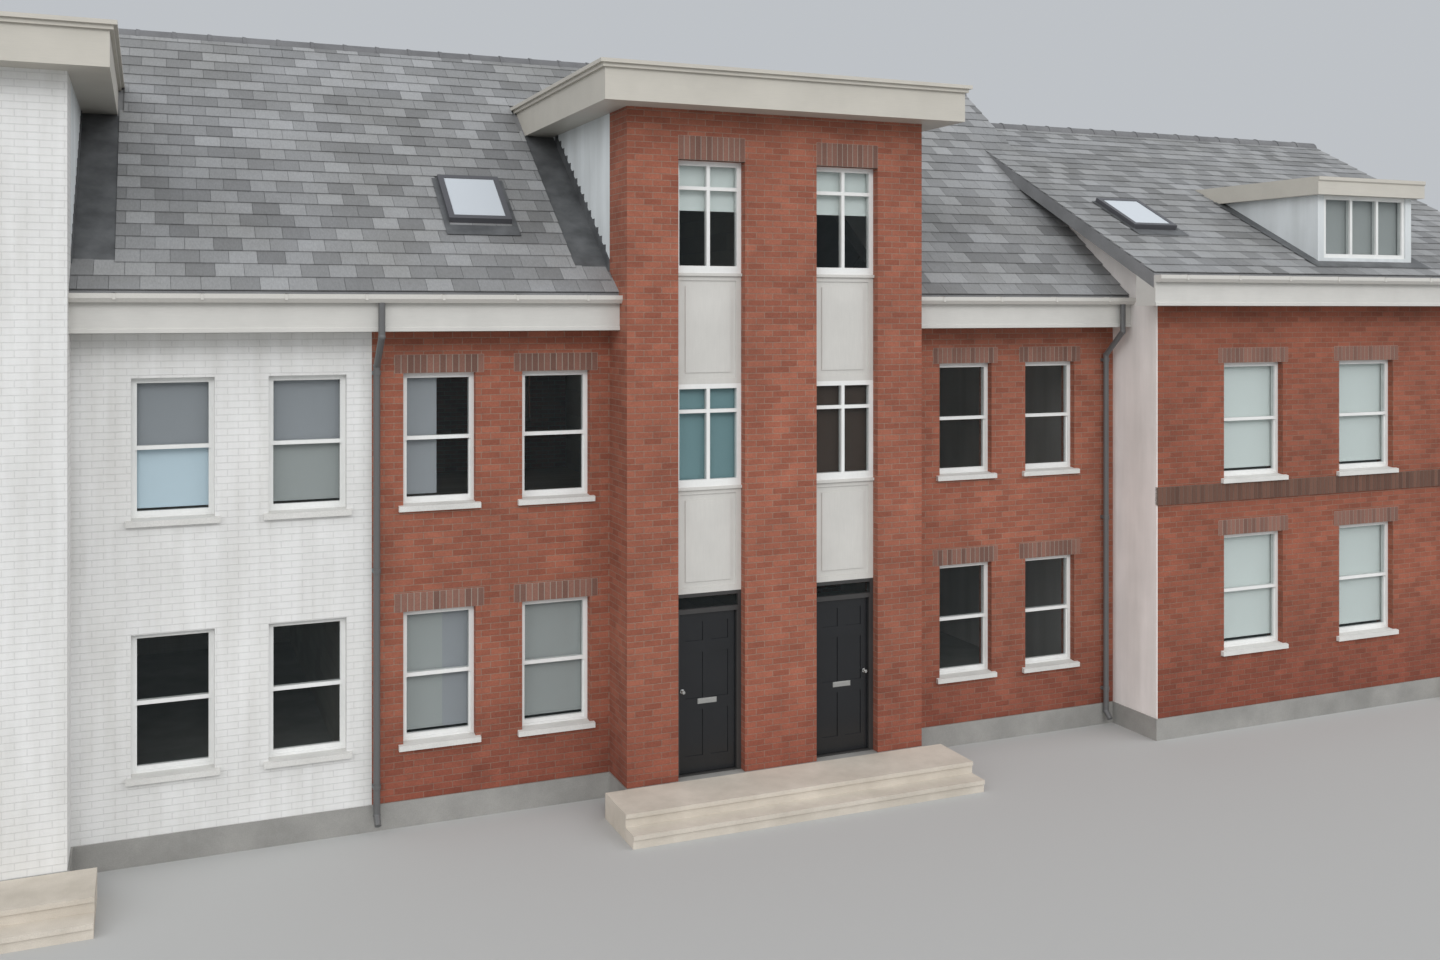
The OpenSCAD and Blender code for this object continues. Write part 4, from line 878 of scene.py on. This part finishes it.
# The end house's string course, whose bricks reach the CAD course's own face
def buildStringCourse():
    rows = startRows(soldiers["seed"] + 1)
    low, high = edges("string_course")
    soldierRow(rows, low.x, high.x, low.y + soldiers["proud"], low.z, high.z - low.z)
    finishPiece(rows["bricks"], "stringSoldiers", stringBrick, replaced=("string_course",))
    finishPiece(rows["mortar"], "stringMortar", stringMortar)


stringBrick = shadedBrick("stringBrick", (0.1, 0.047, 0.031), (0.165, 0.078, 0.052))
stringMortar = stoneware("stringMortar", (0.15, 0.11, 0.087), (0.2, 0.15, 0.122))
buildStringCourse()


# Blinds and curtains that show behind the glass, hung just inside each frame, and blind-shaped sheets whose
# pale blue is a painted sky reflection.
# Foot, top, half, short and meet are shares of the frame's height or width
blinds = {
    "inset": 0.02,
    "back": 0.03,
    "thickness": 0.004,
    "bar": 0.025,             # height of the bar at a blind's foot, and how far it stands out each way
    "barFront": 0.006,
    "barBack": 0.012,
    "roll": 0.04,             # the same for the roll at its top
    "rollFront": 0.01,
    "rollBack": 0.03,
    "foot": 0.06,
    "top": 0.97,
    "half": 0.5,
    "short": 0.56,            # foot of the blinds in the towers' top windows
    "meet": 0.58,             # where a curtain and a blind beside it meet
}
clothFace = {"roughness": 0.8, "weaveStretch": (1, 1, 8), "weave": 60, "depth": 0.0006, "strength": 0.5}
clothColours = {
    "paleBlinds": (0.8, 0.84, 0.81),
    # Pale blue sheets behind the lower half of some windows: a painted sky reflection in the glass
    "paintedSkyBlinds": (0.68, 0.8, 0.88),
    "tealBlinds": (0.2, 0.33, 0.35),
    "netCurtains": (0.4, 0.41, 0.4),
    "greyBlinds": (0.35, 0.355, 0.375),
    "brownBlinds": (0.045, 0.022, 0.012),
}


def clothMaterial(name, colour):
    mat, tree, shader = startMaterial(name, clothFace["roughness"])
    weave = noise(tree, stretched(tree, clothFace["weaveStretch"]), clothFace["weave"], detail=3)
    final = tinted(tree, colour, weave, (0.3, grey(0.94)), (0.7, grey(1.02)))
    tree.links.new(final, shader.inputs["Base Color"])
    relief(tree, shader, weave, clothFace["depth"], clothFace["strength"])
    return mat


# A blind over part of a frame: from foot to top of its height and from left to right of its width
def hangBlind(bm, frameBox, foot=blinds["foot"], top=blinds["top"], left=0.0, right=1.0):
    low, high = frameBox
    x0, x1 = (low.x + (high.x - low.x) * share for share in (left, right))
    z0, z1 = (low.z + (high.z - low.z) * share for share in (foot, top))
    if left == 0:
        x0 += blinds["inset"]
    if right == 1:
        x1 -= blinds["inset"]
    y0 = high.y + blinds["back"]
    block(bm, (x0, y0, z0), (x1, y0 + blinds["thickness"], z1))
    block(bm, (x0, y0 - blinds["barFront"], z0), (x1, y0 + blinds["barBack"], z0 + blinds["bar"]))
    block(bm, (x0, y0 - blinds["rollFront"], z1 - blinds["roll"]), (x1, y0 + blinds["rollBack"], z1))


def hangTowerBlinds(cloths):
    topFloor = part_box("second_floors")[1][2]
    # From left to right each tower has two frames of its left strip, then two of its right one
    for number, box in enumerate(looseBoxes("tower_window_frames")):
        leftStrip = number % 4 < 2
        if box[0].z > topFloor:
            hangBlind(cloths["paleBlinds"], box, blinds["short"])
        elif leftStrip:
            hangBlind(cloths["tealBlinds"], box)
        else:
            hangBlind(cloths["brownBlinds"], box)


def hangWingBlinds(cloths):
    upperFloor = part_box("first_floors")[1][2]
    frames = looseBoxes("wing_window_frames")
    firsts = sorted({round(low.x, 3) for low, high in frames})[0::2]
    for box in frames:
        low = box[0]
        white = low.x < whiteWallHigh.x
        upstairs = low.z > upperFloor
        leftBrickWing = not white and low.x < pierLow.x
        firstOfPair = round(low.x, 3) in firsts
        if white and upstairs:
            hangBlind(cloths["greyBlinds"], box, blinds["half"])
            # The lower half of the first window of each pair holds a painted sky reflection
            hangBlind(cloths["paintedSkyBlinds" if firstOfPair else "netCurtains"], box, top=blinds["half"])
        elif leftBrickWing and not upstairs:
            hangBlind(cloths["netCurtains"], box, right=blinds["meet"] if firstOfPair else 1.0)
            if firstOfPair:
                hangBlind(cloths["greyBlinds"], box, left=blinds["meet"])
        elif leftBrickWing and firstOfPair:
            hangBlind(cloths["greyBlinds"], box, right=blinds["half"])


def hangBlinds():
    cloths = {name: bmesh.new() for name in clothColours}
    for box in looseBoxes("end_window_frames"):
        hangBlind(cloths["paleBlinds"], box)
    for box in looseBoxes("dormer_window_frame"):
        hangBlind(cloths["netCurtains"], box)
    hangTowerBlinds(cloths)
    hangWingBlinds(cloths)
    for name, colour in clothColours.items():
        finishPiece(cloths[name], name, clothMaterial(name.removesuffix("s"), colour))


hangBlinds()


# Brackets that carry the gutters: a strap down the outer side and one across the top
brackets = {"step": 0.9, "width": 0.03, "strap": 0.006, "foot": 0.03}


def buildBrackets():
    bm = bmesh.new()
    half, strap = brackets["width"] / 2, brackets["strap"]
    middleY = (wingFaceY + rearFaceY) / 2
    for low, high in looseBoxes("gutters"):
        count = max(2, round((high.x - low.x) / brackets["step"]))
        step = (high.x - low.x) / count
        y0, y1 = (low.y - strap, low.y) if low.y < middleY else (high.y, high.y + strap)
        for number in range(count):
            x = low.x + step * (number + 0.5)
            block(bm, (x - half, y0, low.z + brackets["foot"]), (x + half, y1, high.z + strap))
            block(bm, (x - half, low.y - strap, high.z), (x + half, high.y, high.z + strap))
    finishPiece(bm, "gutterBrackets", gutterPaint)


buildBrackets()

print("all pieces in place")
